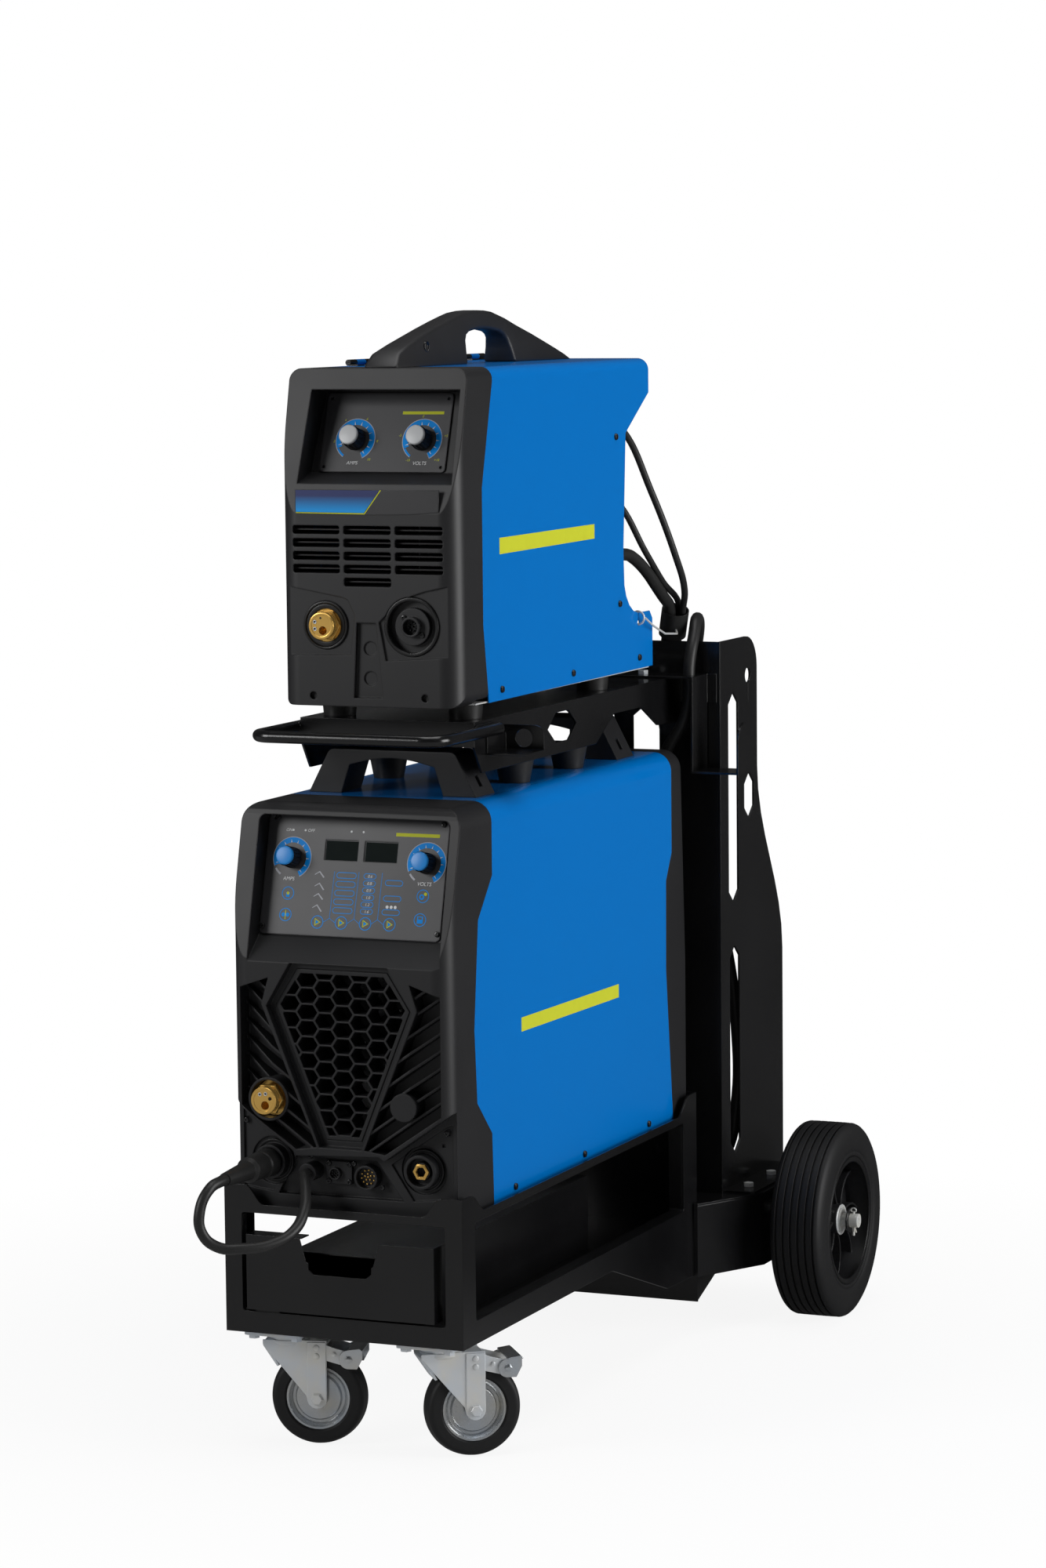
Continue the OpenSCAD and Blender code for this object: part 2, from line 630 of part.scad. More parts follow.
// Puts a piece drawn along +X from the swivel axis at its castor
module at_castor(side, turn) at_cart() translate([side * castor_x, castor_y, 0]) rotate([0, 0, turn])
    children();

module fork_leg() difference() {
    union() {
        polygon([[-30, head_z], [-30, head_z - 6], [trail - 12, castor_z + 2], [trail + 12, castor_z],
            [trail + 12, castor_z + 40], [brake_x, brake_z - 9], [brake_x, brake_z + 9],
            [30, head_z]]);
        translate([trail, castor_z]) circle(12.5);
        translate([brake_x, brake_z]) circle(9);
    }
    translate([brake_x, brake_z]) circle(3 + fit);
}

module castor_fork() color(zinc) {
    w = fork_in + fork_t;
    for (y = [-w, fork_in]) xz(y, fork_t) fork_leg();
    difference() {
        union() {
            translate([-30, -w, head_z - 7]) cube([60, 2 * w, 4]);
            translate([0, 0, head_z - 7]) cylinder(r = 27, h = 7);
        }
        translate([0, 0, head_z - 8]) cylinder(r = 5 + fit, h = 9);
    }
    // Slanted front web between the legs
    translate([0, w, 0]) rotate([90, 0, 0]) linear_extrude(2 * w)
        polygon([[-30, head_z - 3], [-30, head_z - 9], [-11, castor_z + 41], [-9, castor_z + 43],
        [-26, head_z - 6]]);
    translate([trail, 0, castor_z]) {
        yrod(4, -w, w);
        for (y = [-w - 5, w]) translate([0, y, 0]) rotate([-90, 0, 0]) cylinder(r = 7.5, h = 5, $fn = 6);
    }
}

module castor_tyre() color(rubber) translate([trail, 0, castor_z]) rotate([-90, 0, 0]) {
    r = castor_d / 2;
    w = castor_w / 2;
    rotate_extrude($fn = 72) polygon(concat([[r * 0.664, -w + 3], [r * 0.7, -w]],
        arc([r - 9, -w + 7], 7, -90, -20, 4), arc([r - 30, 0], 30, -20, 20, 6),
        arc([r - 9, w - 7], 7, 20, 90, 4), [[r * 0.7, w], [r * 0.664, w - 3]]));
}

module castor_rim() color(zinc) translate([trail, 0, castor_z]) rotate([-90, 0, 0]) {
    r = castor_d / 2 * 0.664;
    w = castor_w / 2;
    rotate_extrude($fn = 72) {
        polygon([[4 + fit, -w - 1], [10, -w - 1], [11, -w + 5], [r - 9, -w + 6], [r - 5, -w + 3],
            [r, -w + 3], [r, w - 3], [r - 5, w - 3], [r - 9, w - 6], [11, w - 5], [10, w + 1],
            [4 + fit, w + 1]]);
    }
}

module castor_brake() color(zinc) {
    w = fork_in + fork_t + 0.6;
    for (y = [-w - 2, w]) xz(y, 2) difference() {
        polygon(concat(arc([brake_x, brake_z], 13, 100, 260, 6), [[brake_x + 12, brake_z - 13],
            [brake_x + 19, brake_z + 2], [brake_x + 19, brake_z + 14]]));
        translate([brake_x, brake_z]) circle(2.5);
    }
    translate([brake_x, 0, brake_z]) {
        yrod(3, -w - 2, w + 2);
        for (y = [-w - 5, w + 2]) yrod_at(y, 5, 3);
    }
    // Tread plate
    xz(-w - 8, 2 * w + 16) polygon([[brake_x - 1, brake_z + 12], [brake_x + 18, brake_z + 14],
        [brake_x + 18, brake_z + 17], [brake_x - 1, brake_z + 15]]);
}

module yrod_at(y, r, l) translate([0, y, 0]) rotate([-90, 0, 0]) cylinder(r = r, h = l);

module castor_fork_left() at_castor(-1, castor_turn_l) castor_fork();
module castor_fork_right() at_castor(1, castor_turn_r) castor_fork();
module castor_tyre_left() at_castor(-1, castor_turn_l) castor_tyre();
module castor_tyre_right() at_castor(1, castor_turn_r) castor_tyre();
module castor_rim_left() at_castor(-1, castor_turn_l) castor_rim();
module castor_rim_right() at_castor(1, castor_turn_r) castor_rim();
module castor_brake_left() at_castor(-1, castor_turn_l) castor_brake();
module castor_brake_right() at_castor(1, castor_turn_r) castor_brake();

// ---- Rear wheels ----

// Puts a profile drawn as [radius, distance from the tyre's inner face] at the right wheel
module at_wheel() at_cart() translate([wheel_x, axle_y, axle_z]) rotate([0, 90, 0]) children();

module rear_tyre() color(rubber) at_wheel() rotate_extrude($fn = 96) {
    r = rear_d / 2;
    pitch = (rear_w - 14) / 6;
    grooves = [for (i = [0:5]) let(x = 7 + pitch * (i + 0.5)) each [[r, x - 1.6], [r - 3, x - 0.9],
        [r - 3, x + 0.9], [r, x + 1.6]]];
    polygon(concat([[rim_d / 2, 4], [rim_d / 2 + 6, 1], [r - 20, 0], [r - 5, 2], [r - 1, 6]], grooves,
        [[r - 1, rear_w - 6], [r - 5, rear_w - 2], [r - 20, rear_w], [rim_d / 2 + 6, rear_w - 1],
        [rim_d / 2, rear_w - 4]]));
}

module rear_rim() color(moulding) at_wheel() {
    r = rim_d / 2;
    bore = axle_d / 2 + fit;
    mid = rear_w / 2;
    rotate_extrude($fn = 96) {
        polygon([[r - 4, 4], [r, 4], [r, rear_w - 4], [r - 4, rear_w - 4], [r - 8, mid + 8],
            [r - 8, mid - 8]]);
        polygon([[bore, -hub_in], [bore + 10, -hub_in], [bore + 14, mid - 12], [r - 7, mid - 3],
            [r - 7, mid + 1], [bore + 16, mid - 2], [bore + 12, hub_out], [bore, hub_out]]);
    }
    // Curved ribs
    c = [(bore + r) / 2 + 2, -38];
    half = (r - bore) / 2 - 8;
    turn = atan2(-c[1], half);
    for (i = [0:7]) rotate([0, 0, i * 45]) translate([0, 0, mid - 18]) linear_extrude(rear_w / 2 - 4)
        polygon(concat(arc(c, norm([half, c[1]]) + 1.5, 180 - turn, turn, 6),
            arc(c, norm([half, c[1]]) - 1.5, turn, 180 - turn, 6)));
}

module rear_tyre_right() rear_tyre();
module rear_tyre_left() mirror([1, 0, 0]) rear_tyre();
module rear_rim_right() rear_rim();
module rear_rim_left() mirror([1, 0, 0]) rear_rim();

// ---- Power source ----

module at_ps() at_cart() translate([0, 0, ps_z]) children();

// Frame of the slanted control panel: Z runs up the panel and -Y points out of it
module at_face() at_ps() translate([0, face_y, face_z - ps_z]) rotate([-ps_lean, 0, 0]) children();

// Outline of the grille, grown by d
function grille_outline(d) = let(right = [[24 + d * 0.6, 97 - d], [92.5 + d, 266], [62.5 + d * 0.6, 313 + d]])
    concat(right, mirrored(right));

module louvres() {
    floor_y = ps_y + 28;
    intersection() {
        xz(ps_y, floor_y - ps_y + 1) intersection() {
            polygon(louvre_outline);
            for (i = [0:13]) let(z = 92 + i * fin_pitch)
                polygon([[20, z - 87], [145, z], [145, z + 4], [20, z - 83]]);
        }
        linear_extrude(ps_h) polygon([[20, ps_y + 2], [96, ps_y + 3], [140, floor_y - 6],
            [140, floor_y + 1], [20, floor_y + 1]]);
    }
}

module power_front_panel() color(moulding) at_ps() {
    floor_y = ps_y + 28;
    chin = [[-140, 135], [-68, 83], [-62, 76], [53, 81], [61, 76], [150, 139]];
    difference() {
        intersection() {
            xz(ps_y, 145) arch(ps_x, 0, ps_h, ps_edge_r);
            yz(-ps_x - 1, ps_w + 2) polygon(concat([[ps_y, 0], [ps_y, 326]],
                arc([ps_y + 62.7, ps_h - 20], 20, 166.4, 90, 4),
                [for (i = [len(ps_front_edge) - 1:-1:0]) ps_front_edge[i]]));
            linear_extrude(ps_h) rrect([-ps_x, ps_y], [ps_x, ps_y + 300], 24);
        }
        // Inside of the moulding
        difference() {
            xz(ps_block, 120) arch(ps_x - 3, -1, ps_h - 3, ps_edge_r - 3);
            block([-ps_x, 0, face_z - ps_z - 24], [ps_x, face_y + 52, ps_h]);
        }
        // Control panel recess, with its sloping chin
        intersection() {
            yz(-ps_x, ps_w) polygon([[face_y, face_z - ps_z], [face_y + 39.1, face_z - ps_z + 151],
                [face_y - 13, face_z - ps_z + 157], [-40, face_z - ps_z + 157], [-40, 320], [ps_y, 322]]);
            xz(-45, 150) rrect([-127, 300], [139, face_z - ps_z + 153], 9);
        }
        // Set-back lower face, whose upper edge dips in the middle
        xz(ps_y - 1, ps_low_y - ps_y + 1) polygon(concat([[-ps_x - 1, -1], [-ps_x - 1, 144]], chin,
            [[ps_x + 1, 141], [ps_x + 1, -1]]));
        both_sides() xz(ps_y - 1, floor_y - ps_y + 1) polygon(louvre_outline);
        xz(ps_y - 1, 14) polygon(grille_outline(9));
        xz(ps_y - 1, 80) polygon(grille_outline(0.6));
        // Pockets of the lower face
        xz(ps_low_y - 1, 9) polygon([[-98, 21], [77, 22], [41, 71], [-73, 71]]);
        xz(ps_low_y - 1, 4) polygon([[61, 68], [91, 23], [146, 28], [146, 124], [134, 118]]);
        xz(ps_low_y - 1, 4) polygon([[-86, 70], [-106, 23], [-146, 28], [-146, 128], [-138, 123]]);
        both_sides() translate([105, 0, socket_z - ps_z]) yrod(31, ps_low_y - 1, ps_low_y + 6);
        for (x = [-142, 138]) translate([x, 0, 113]) yrod(4, ps_low_y - 1, ps_low_y + 6);
        xz(ps_low_y, 6) translate([130, 94]) square([4, 4]);
    }
    difference() {
        both_sides() louvres();
        translate([-torch_x, 0, torch_z - ps_z]) yrod(25, ps_y - 1, floor_y + 2);
    }
    for (s = [-1, 1]) translate([s > 0 ? 88 : -torch_x, 0, torch_z - ps_z])
        difference() {
            yrod(s > 0 ? 18 : 28, ps_y, floor_y + 1);
            if (s < 0) yrod(24.5, ps_y - 1, floor_y + 2);
        }
}

module power_grille() color(moulding) at_ps() xz(grille_y, 9) {
    half = cell_row / 2;
    flat = cell_col * 0.36;
    tip = cell_col - flat;
    difference() {
        polygon(grille_outline(0.4));
        intersection() {
            polygon(grille_outline(-5));
            for (i = [-4:4], j = [0:11]) let(k = 1 - cell_wall / cell_row, z = (j + (i % 2 == 0 ? 0 : 0.5))
                * cell_row + 92) translate([i * cell_col, z]) scale(k) polygon([[-tip, 0], [-flat, half],
                [flat, half], [tip, 0], [flat, -half], [-flat, -half]]);
        }
    }
}

module power_fascia() color([0.17, 0.17, 0.17]) at_face() {
    difference() {
        xz(-2.2, 2) rrect([-126, 0.5], [126, face_l - 0.5], 7);
        for (x = [-44, 11]) xz(-3, 1.6) translate([x, 98]) square([46, 26]);
        both_sides() for (p = [[118, 149], [122, 10]]) translate([p[0], 0, p[1]]) yrod(2, -5, 1);
    }
    for (x = knob_x) translate([x, 0, knob_up]) {
        yrod(6, -3.8, -2);
        yrod(3, -18, -1);
    }
}

// Skirted knob on a shaft of radius 3, drawn along -Y from the panel
module dial_knob(r, l) difference() {
    union() {
        yrod(r * 0.93, -l, -4.2);
        yrod(r, -9, -4.2);
        for (i = [0:11]) rotate([0, i * 30, 0]) translate([r * 0.93 - 0.6, -l + 3, -0.8])
            cube([1.2, l - 8, 1.6]);
    }
    yrod(3 + fit, -18.3, -4);
}

module current_knob() color(blue) at_face() translate([knob_x[0], 0, knob_up]) dial_knob(13.5, 25);
module voltage_knob() color(blue) at_face() translate([knob_x[1], 0, knob_up]) dial_knob(13.5, 25);

module power_cover() color(blue) at_ps() difference() {
    intersection() {
        xz(ps_y, ps_l) arch(ps_x, 1, ps_h, ps_edge_r);
        yz(-ps_x - 1, ps_w + 2) polygon(concat(ps_front_edge, ps_rear_edge));
    }
    xz(0, ps_l) arch(ps_x - skin, 0, ps_h - skin, ps_edge_r - skin);
}

module power_base() color(zinc) at_ps() {
    x = ps_x - 3.5;
    back = ps_panel_y - 5;
    // Floor pan
    difference() {
        block([-x, ps_block + 2, 0], [x, back, 22]);
        block([-x + 2, ps_block, 2], [x - 2, back + 1, 23]);
    }
    // Fan bracket, transformer, inverter block and cooling fins
    block([-34, fan_y + 44, 1], [34, fan_y + 47, 250]);
    translate([0, 0, fan_z - ps_z]) {
        yrod(30, fan_y + 24, fan_y + 45);
        yrod(4, fan_y + 2, fan_y + 26);
    }
    block([-62, 250, 1], [62, 380, 130]);
    for (y = [262, 336]) block([-70, y, 20], [70, y + 32, 118]);
    block([-100, 440, 1], [100, 640, 24]);
    for (i = [-6:6]) block([i * 15 - 1.5, 440, 20], [i * 15 + 1.5, 640, 110]);
    block([-100, 440, 108], [100, 640, 114]);
}

module power_fan() color(moulding) at_ps() translate([0, fan_y, fan_z - ps_z]) {
    difference() {
        yrod(22, 0, 20);
        yrod(4 + fit, -1, 21);
    }
    for (i = [0:6]) rotate([0, i * 360 / 7, 0]) translate([0, 10, 20]) rotate([0, 0, 32])
        translate([-15, -1, 0]) cube([30, 2, fan_r - 24]);
}

module power_rear_panel() color(moulding) at_ps() difference() {
    floor_y = ps_panel_y - 3;
    union() {
        difference() {
            intersection() {
                xz(floor_y, ps_l) arch(ps_x, 0, ps_h, ps_edge_r);
                yz(-ps_x - 1, ps_w + 2) polygon(concat(ps_rear_edge,
                    [[ps_back, 0], [ps_back, 223], [ps_back - 15, ps_h]]));
            }
            xz(0, ps_back - 20) arch(ps_x - 3, 3, ps_h - 3, ps_edge_r - 3);
        }
        xz(floor_y, ps_rear_recess - 14) rrect([-ps_x + 19, 12], [ps_x - 19, ps_h - 20], 8);
    }
    xz(ps_panel_y, ps_l) rrect([-ps_x + 22, 15], [ps_x - 22, ps_h - 23], 6);
    // Air slots of the panel
    for (i = [0:6], x = [-115, -15]) xz(floor_y - 1, 5) rrect([x, 225 + i * 12], [x + 60, 231 + i * 12], 2.5);
}

module power_handles() color(moulding) at_ps() for (y = [168, 651]) {
    h = ps_handle_h;
    difference() {
        xz(y, 60) translate([0, ps_h]) polygon(concat([[118, 0]], arc([82, h - 10], 10, 30, 90, 4),
            arc([-82, h - 10], 10, 90, 150, 4), [[-118, 0], [-72, 0]],
            [for (i = [-6:6]) [i * 10, h - 20 + 10 * cos(i * 15)]], [[72, 0]]));
        for (s = [-1, 1]) translate([s * 99, y + 30, ps_h + 14]) rotate([0, s * 30, 0])
            translate([-2, -5, 0]) cube([14, 10, 34]);
    }
}

// Panel socket for welding current, its axis along -Y, seated on y = 0
module current_socket(r, l) difference() {
    union() {
        yrod(r, -l, 0);
        yrod(r + 4, -3, 0);
    }
    yrod(r - 4, -l - 1, -4);
}

module socket_pin(l) difference() {
    yrod(11.5, -l, 0);
    yrod(6.5, -l - 1, -2);
}

module power_sockets() color(moulding) at_ps() {
    both_sides() translate([105, ps_low_y + 6, socket_z - ps_z]) {
        current_socket(22, 18);
        socket_pin(12);
    }
    translate([-50, 0, 53]) yrod(12, ps_low_y - 16, ps_low_y + 8);
    translate([-18, 0, 51.5]) difference() {
        union() {
            xz(ps_low_y + 3, 5) rrect([-14, -14], [22, 15.5], 2);
            yrod(8, ps_low_y - 3, ps_low_y + 5);
        }
        yrod(6, ps_low_y - 4, ps_low_y + 2);
    }
    translate([28, 0, 50]) difference() {
        yrod(16, ps_low_y - 8, ps_low_y + 8);
        yrod(13, ps_low_y - 9, ps_low_y + 2);
    }
    // Rear fittings: current socket, control socket, gas nipple, mains gland and switch base
    translate([92, ps_panel_y, 194]) rotate([0, 0, 180]) {
        current_socket(22, 18);
        socket_pin(12);
    }
    translate([45, 0, 133]) yrod(14, ps_panel_y, ps_panel_y + 14);
    translate([66, 0, 306]) {
        yrod(9, ps_panel_y, ps_panel_y + 8);
        yrod(5.5, ps_panel_y, ps_panel_y + 30);
    }
    translate([-95, 0, 90]) difference() {
        yrod(22, ps_panel_y, ps_panel_y + 28);
        yrod(9, ps_panel_y + 2, ps_panel_y + 29);
    }
    translate([-90, 0, 400]) {
        xz(ps_panel_y, 4) rrect([-32, -32], [32, 32], 4);
        yrod(3, ps_panel_y, ps_panel_y + 18);
    }
}

module power_torch_socket() color(brass) at_ps() translate([-torch_x, 0, torch_z - ps_z]) difference() {
    union() {
        yrod(17.5, ps_y - torch_out, ps_y + 28);
        yrod(23.5, ps_y + 18, ps_y + 28);
    }
    translate([2, 0, -6]) yrod(5.5, ps_y - torch_out - 1, ps_y + 6);
    for (p = [[-5, 8], [3, 9], [9, 3]]) translate([p[0], 0, p[1]]) yrod(2.4, ps_y - torch_out - 1, ps_y);
}

module power_switch() color([0.7, 0.1, 0.1]) at_ps() translate([-90, ps_panel_y, 400]) difference() {
    union() {
        yrod(20, 4.3, 10);
        translate([-5, 9, -20]) cube([10, 14, 40]);
    }
    yrod(3 + fit, 4, 18.3);
}

// ---- Cords ----

// Cable plug along +Y from y = 0: grip of radius r and length l, then a boot down to a cord of radius c
module plug(r, l, c, boot) rotate([-90, 0, 0]) rotate_extrude()
    polygon([[0, 0], [r - 2, 0], [r, 3], [r, l * 0.4], [r - 1.5, l * 0.45], [r - 1.5, l], [r * 0.7, l + 4],
        [c + 1.5, l + boot], [0, l + boot]]);

module cable_plugs() color(rubber) at_cart() {
    translate([-105, ps_low_y - 12, socket_z]) mirror([0, 1, 0]) {
        plug(18, 60, lead_d / 2, 66);
        yrod(6, -14, 1);
    }
    translate([0, ps_panel_y, ps_z]) {
        translate([92, 18, 194]) plug(20, 28, weld_d / 2, 24);
        translate([45, 14, 133]) plug(12, 18, control_d / 2, 22);
    }
    translate([0, fd_back + 20, fd_z]) {
        translate([100, 0, 159]) plug(16, 2, weld_d / 2, 22);
        translate([84, 0, 238]) plug(12, 2, control_d / 2, 10);
    }
}

module polarity_lead() color(rubber) at_cart() cord(moved(lead_route, lead_shift, lead_shift), lead_d);
module weld_cable() color(rubber) at_cart() cord(moved(weld_route, fd_shift, ps_shift), weld_d);
module control_cable() color(rubber) at_cart() cord(moved(control_route, fd_shift, ps_shift), control_d);
module gas_hose() color(rubber) at_cart() cord(moved(hose_route, fd_shift, ps_shift), hose_d);

module cable_wrap() color(rubber) at_cart() translate(wrap_at + rack_shift)
    rotate([0, acos(wrap_dir[2]), atan2(wrap_dir[1], wrap_dir[0])]) difference() {
        translate([0, 0, -20]) cylinder(r = 19.4, h = 40);
        translate([0, 0, -21]) cylinder(r = 18, h = 42);
    }

module snap_hook() color(zinc) at_cart() {
    translate([fd_x - skin / 2, fd_back + 56, fd_z + 71.8]) rotate([90, 0, 0]) rotate_extrude($fn = 24)
        translate([9, 0]) circle(1.5, $fn = 16);
    cord(moved(hook_route, hook_shift, rack_shift), 3);
}

// ---- Wire feeder ----

module at_fd() at_cart() translate([0, 0, fd_z]) children();
module at_dial() at_fd() translate([0, dial_y, dial_z - fd_z]) rotate([-fd_lean, 0, 0]) children();

module fd_sheet() difference() {
    intersection() {
        xz(fd_y + 60, fd_l + fd_ear) arch(fd_x, 0, fd_h, fd_edge_r);
        yz(-fd_x - 1, fd_w + 2) polygon(concat([for (i = [len(fd_front_edge) - 1:-1:0])
            fd_front_edge[i] + [fd_y, 0]], [for (p = fd_rear_edge) p + [fd_back, 0]]));
    }
    xz(fd_y, fd_l * 2) arch(fd_x - skin, -1, fd_h - skin, fd_edge_r - skin);
}

// Room that the left door takes in the sheet, grown by d
module door_room(d) block([-fd_x - 1, fd_y + 121 - d, 22 - d],
    [hinge_x - 3 + d, fd_back + fd_ear + 1, fd_h + 1]);

module feeder_cover() color(blue) at_fd() difference() {
    fd_sheet();
    door_room(1);
    translate([0, fd_back + 56, 65]) xrod(4, fd_x - 5, fd_x + 5);
}

module feeder_door() color(blue) {
    at_fd() intersection() {
        fd_sheet();
        door_room(0);
    }
    at_cart() for (y = hinge_y) translate([hinge_x, y, hinge_z]) difference() {
        union() {
            yrod(4, 21, 47);
            block([-12, 21, -4.5], [-2, 47, -2.5]);
        }
        yrod(2 + fit, 20, 48);
    }
}

module door_hinges() color(steel_black) at_cart() for (y = hinge_y) translate([hinge_x, y, hinge_z]) {
    yrod(2, 0, 68);
    for (s = [0, 47.5]) {
        yrod_at(s, 4, 20.5);
        block([2, s, -4.5], [14, s + 20.5, -2.5]);
    }
}

module feeder_front_panel() color(moulding) at_fd() {
    difference() {
        intersection() {
            xz(fd_y, 120) rrect([-fd_x, 0], [fd_x, fd_h], fd_edge_r);
            yz(-fd_x - 1, fd_w + 2) translate([fd_y, 0]) polygon(concat([[0, 0], [0, 246], [41, fd_h]],
                [for (i = [len(fd_front_edge) - 1:-1:0]) fd_front_edge[i]]));
            linear_extrude(fd_h) rrect([-fd_x, fd_y], [fd_x, fd_y + 300], 26);
        }
        difference() {
            xz(fd_block, 100) arch(fd_x - 3, -1, fd_h - 3, fd_edge_r - 3);
            block([-fd_x, 0, 276], [fd_x, dial_y + 41, fd_h]);
        }
        // Control panel recess
        intersection() {
            yz(-fd_x, fd_w) translate([fd_y, 0]) polygon([[48, 295], [48 + dial_l * sin(fd_lean),
                295 + dial_l * cos(fd_lean)], [36, 404], [-10, 404], [-10, 281], [4, 281]]);
            xz(0, 300) polygon([[-102, 270], [114, 270], [116, 401], [-91, 401]]);
        }
        // Air slots
        for (c = [-1:1], i = [0:(c == 0 ? 4 : 3)]) xz(fd_y - 1, 64)
            rrect([c * 71.5 - 33, 219 - i * 16.5], [c * 71.5 + 33, 230 - i * 16.5], 3);
        // Socket pockets, and the channel between them
        for (s = [-1, 1]) translate([s * 60, 0, wire_z - fd_z]) {
            yrod(s > 0 ? 38 : 31, fd_y - 1, fd_y + 12);
            yrod(20, fd_y, fd_y + 80);
        }
        xz(fd_y - 1, 7) polygon([[-21, 11], [20, 12], [11, 107], [-16, 107]]);
        // Shallow fields round the sockets
        xz(fd_y - 1, 4) polygon([[-112, 152], [-36, 139], [-28.5, 136], [-18.5, 116], [-25, 66], [-111, 64]]);
        xz(fd_y - 1, 4) polygon([[15, 108], [33, 126], [60, 142], [79, 148], [112, 155], [112, 65],
            [24, 59]]);
        for (z = [36, 74]) translate([0, 0, z]) yrod(9, fd_y, fd_y + 8);
        both_sides() translate([78, 0, 13]) yrod(5, fd_y - 1, fd_y + 6);
    }
    // Blades behind the slots
    for (c = [-1:1], i = [0:(c == 0 ? 4 : 3)]) block([c * 71.5 - 34, fd_y + 8, 223.5 - i * 16.5],
        [c * 71.5 + 34, fd_y + 22, 225.5 - i * 16.5]);
    // Remote socket
    translate([60, 0, wire_z - fd_z]) difference() {
        union() {
            yrod(24, fd_y + 4, fd_y + 13);
            yrod(13, fd_y - 4, fd_y + 40);
        }
        yrod(10, fd_y - 5, fd_y + 8);
    }
}

module feeder_fascia() color([0.17, 0.17, 0.17]) at_dial() {
    difference() {
        xz(-2.2, 2) rrect([-88, 0.5], [88, dial_l - 2], 5);
        both_sides() for (z = [7, dial_l - 9]) translate([82, 0, z]) yrod(2, -5, 1);
    }
    for (x = fd_knob_x) translate([x, 0, fd_knob_up]) {
        yrod(6, -3.8, -2);
        yrod(3, -18, -1);
    }
}

module grey_knob(x) color([0.6, 0.6, 0.6]) at_dial() translate([x, 0, fd_knob_up]) dial_knob(14.5, 25);
module speed_knob() grey_knob(fd_knob_x[0]);
module trim_knob() grey_knob(fd_knob_x[1]);

// Side of the handle: distance from the feeder's front and share of the handle's height
handle_line = [[44, 0], [65, 0.28], [138, 0.55], [221, 0.8], [281, 0.97], [332, 1], [375, 0.97],
    [419, 0.84], [508, 0.53], [581, 0.23], [623, 0.04], [628, 0]];

module feeder_handle() color(moulding) at_cart() translate([0, 0, fd_top]) difference() {
    intersection() {
        yz(-24, 48) polygon([for (p = handle_line) [fd_y + p[0], fd_handle_h * p[1]]]);
        xz(0, fd_back + fd_ear) polygon([[-24, 0], [24, 0], [21, 14], [15, 40], [14, 95], [-14, 95],
            [-15, 40], [-21, 14]]);
    }
    yz(-25, 50) polygon([[fd_y + 273, -1], [fd_y + 283, 34], [fd_y + 300, 42], [fd_y + 345, 45],
        [fd_y + 395, 41], [fd_y + 418, 32], [fd_y + 428, -1]]);
    for (s = [-1, 1]) translate([s * 23, fd_y + 149, 25]) xrod(5, -11, 11);
}

module feeder_sockets() color(brass) at_fd() {
    // Torch socket and remote socket
    translate([wire_x, 0, wire_z - fd_z]) difference() {
        union() {
            yrod(17.5, fd_y - 12, fd_y + 84);
            yrod(24, fd_y + 4, fd_y + 12);
        }
        translate([2, 0, -6]) yrod(5.5, fd_y - 13, fd_y + 10);
        yrod(1.6, fd_y + 9, fd_y + 85);
    }
    // Rear fittings: gas nipple, control plug and welding current plug
    translate([96, 0, 337]) {
        yrod(9, fd_back, fd_back + 12);
        yrod(6.5, fd_back, fd_back + 30);
    }
    translate([84, 0, 238]) yrod(14, fd_back, fd_back + 20);
    translate([100, 0, 159]) yrod(17, fd_back, fd_back + 20);
}

module feeder_base() color(zinc) at_fd() {
    x = fd_x - skin - 0.4;
    top = fd_h - skin - 0.4;
    front = fd_y + 97.5;
    difference() {
        union() {
            block([-fd_x + 3.5, fd_block, 0], [fd_x - 3.5, front + 1, 2]);
            block([-x, front, 0], [x, fd_back + fd_ear - 10, 2]);
            block([wall_x, fd_y + 118.5, 0], [wall_x + 2, fd_back, top]);
            xz(fd_back - 2, 2) arch(x, 0, top, fd_edge_r - skin);
            // Side flanges
            both_sides() block([x - 1.6, fd_block + 40, 0], [x, fd_back, 18]);
        }
        for (x = [-90, -30], i = [0:7]) xz(fd_back - 3, 4)
            rrect([x, 300 + i * 10], [x + 45, 305 + i * 10], 2);
    }
    // Spool spindle with its brake nut
    translate([0, spool_y, spool_z - fd_z]) {
        xrod(12, spool_x - spool_w / 2 - 6, wall_x + 1);
        xrod(34, wall_x - 5, wall_x + 0.5);
    }
}

module wire_spool() color([0.16, 0.16, 0.17]) at_cart() translate([spool_x, spool_y, spool_z])
    rotate([0, 90, 0]) {
        h = spool_w / 2;
        r = spool_r;
        rotate_extrude($fn = 96) {
            polygon([[12 + fit, -h], [r, -h], [r, -h + 4], [r * 0.86, -h + 5], [r * 0.86, h - 5], [r, h - 4],
                [r, h], [12 + fit, h]]);
        }
    }

module wire_drive() color(zinc) at_cart() translate([0, roll_y, wire_z]) difference() {
    union() {
        // Gear plate, motor and roll shaft
        block([-46, -46, -62], [wall_x, 46, 24]);
        translate([0, 0, -30]) xrod(30, wall_x + 2, wall_x + 88);
        translate([0, 0, -roll_r - 0.6]) xrod(5, wire_x - 10, -46 - seam);
        // Wire guides before and after the rolls
        for (s = [-1, 1]) {
            block([wire_x - 7, s > 0 ? 22 : -46, -7], [-46 - seam, s > 0 ? 46 : -22, 7]);
            translate([wire_x, 0, 0]) yrod(2.6, s > 0 ? 45 : -53, s > 0 ? 70 : -45);
        }
        translate([0, 38, 22]) xrod(4, wire_x - 14, -46 - seam);
    }
    translate([wire_x, 0, 0]) yrod(1.2, -60, 75);
}

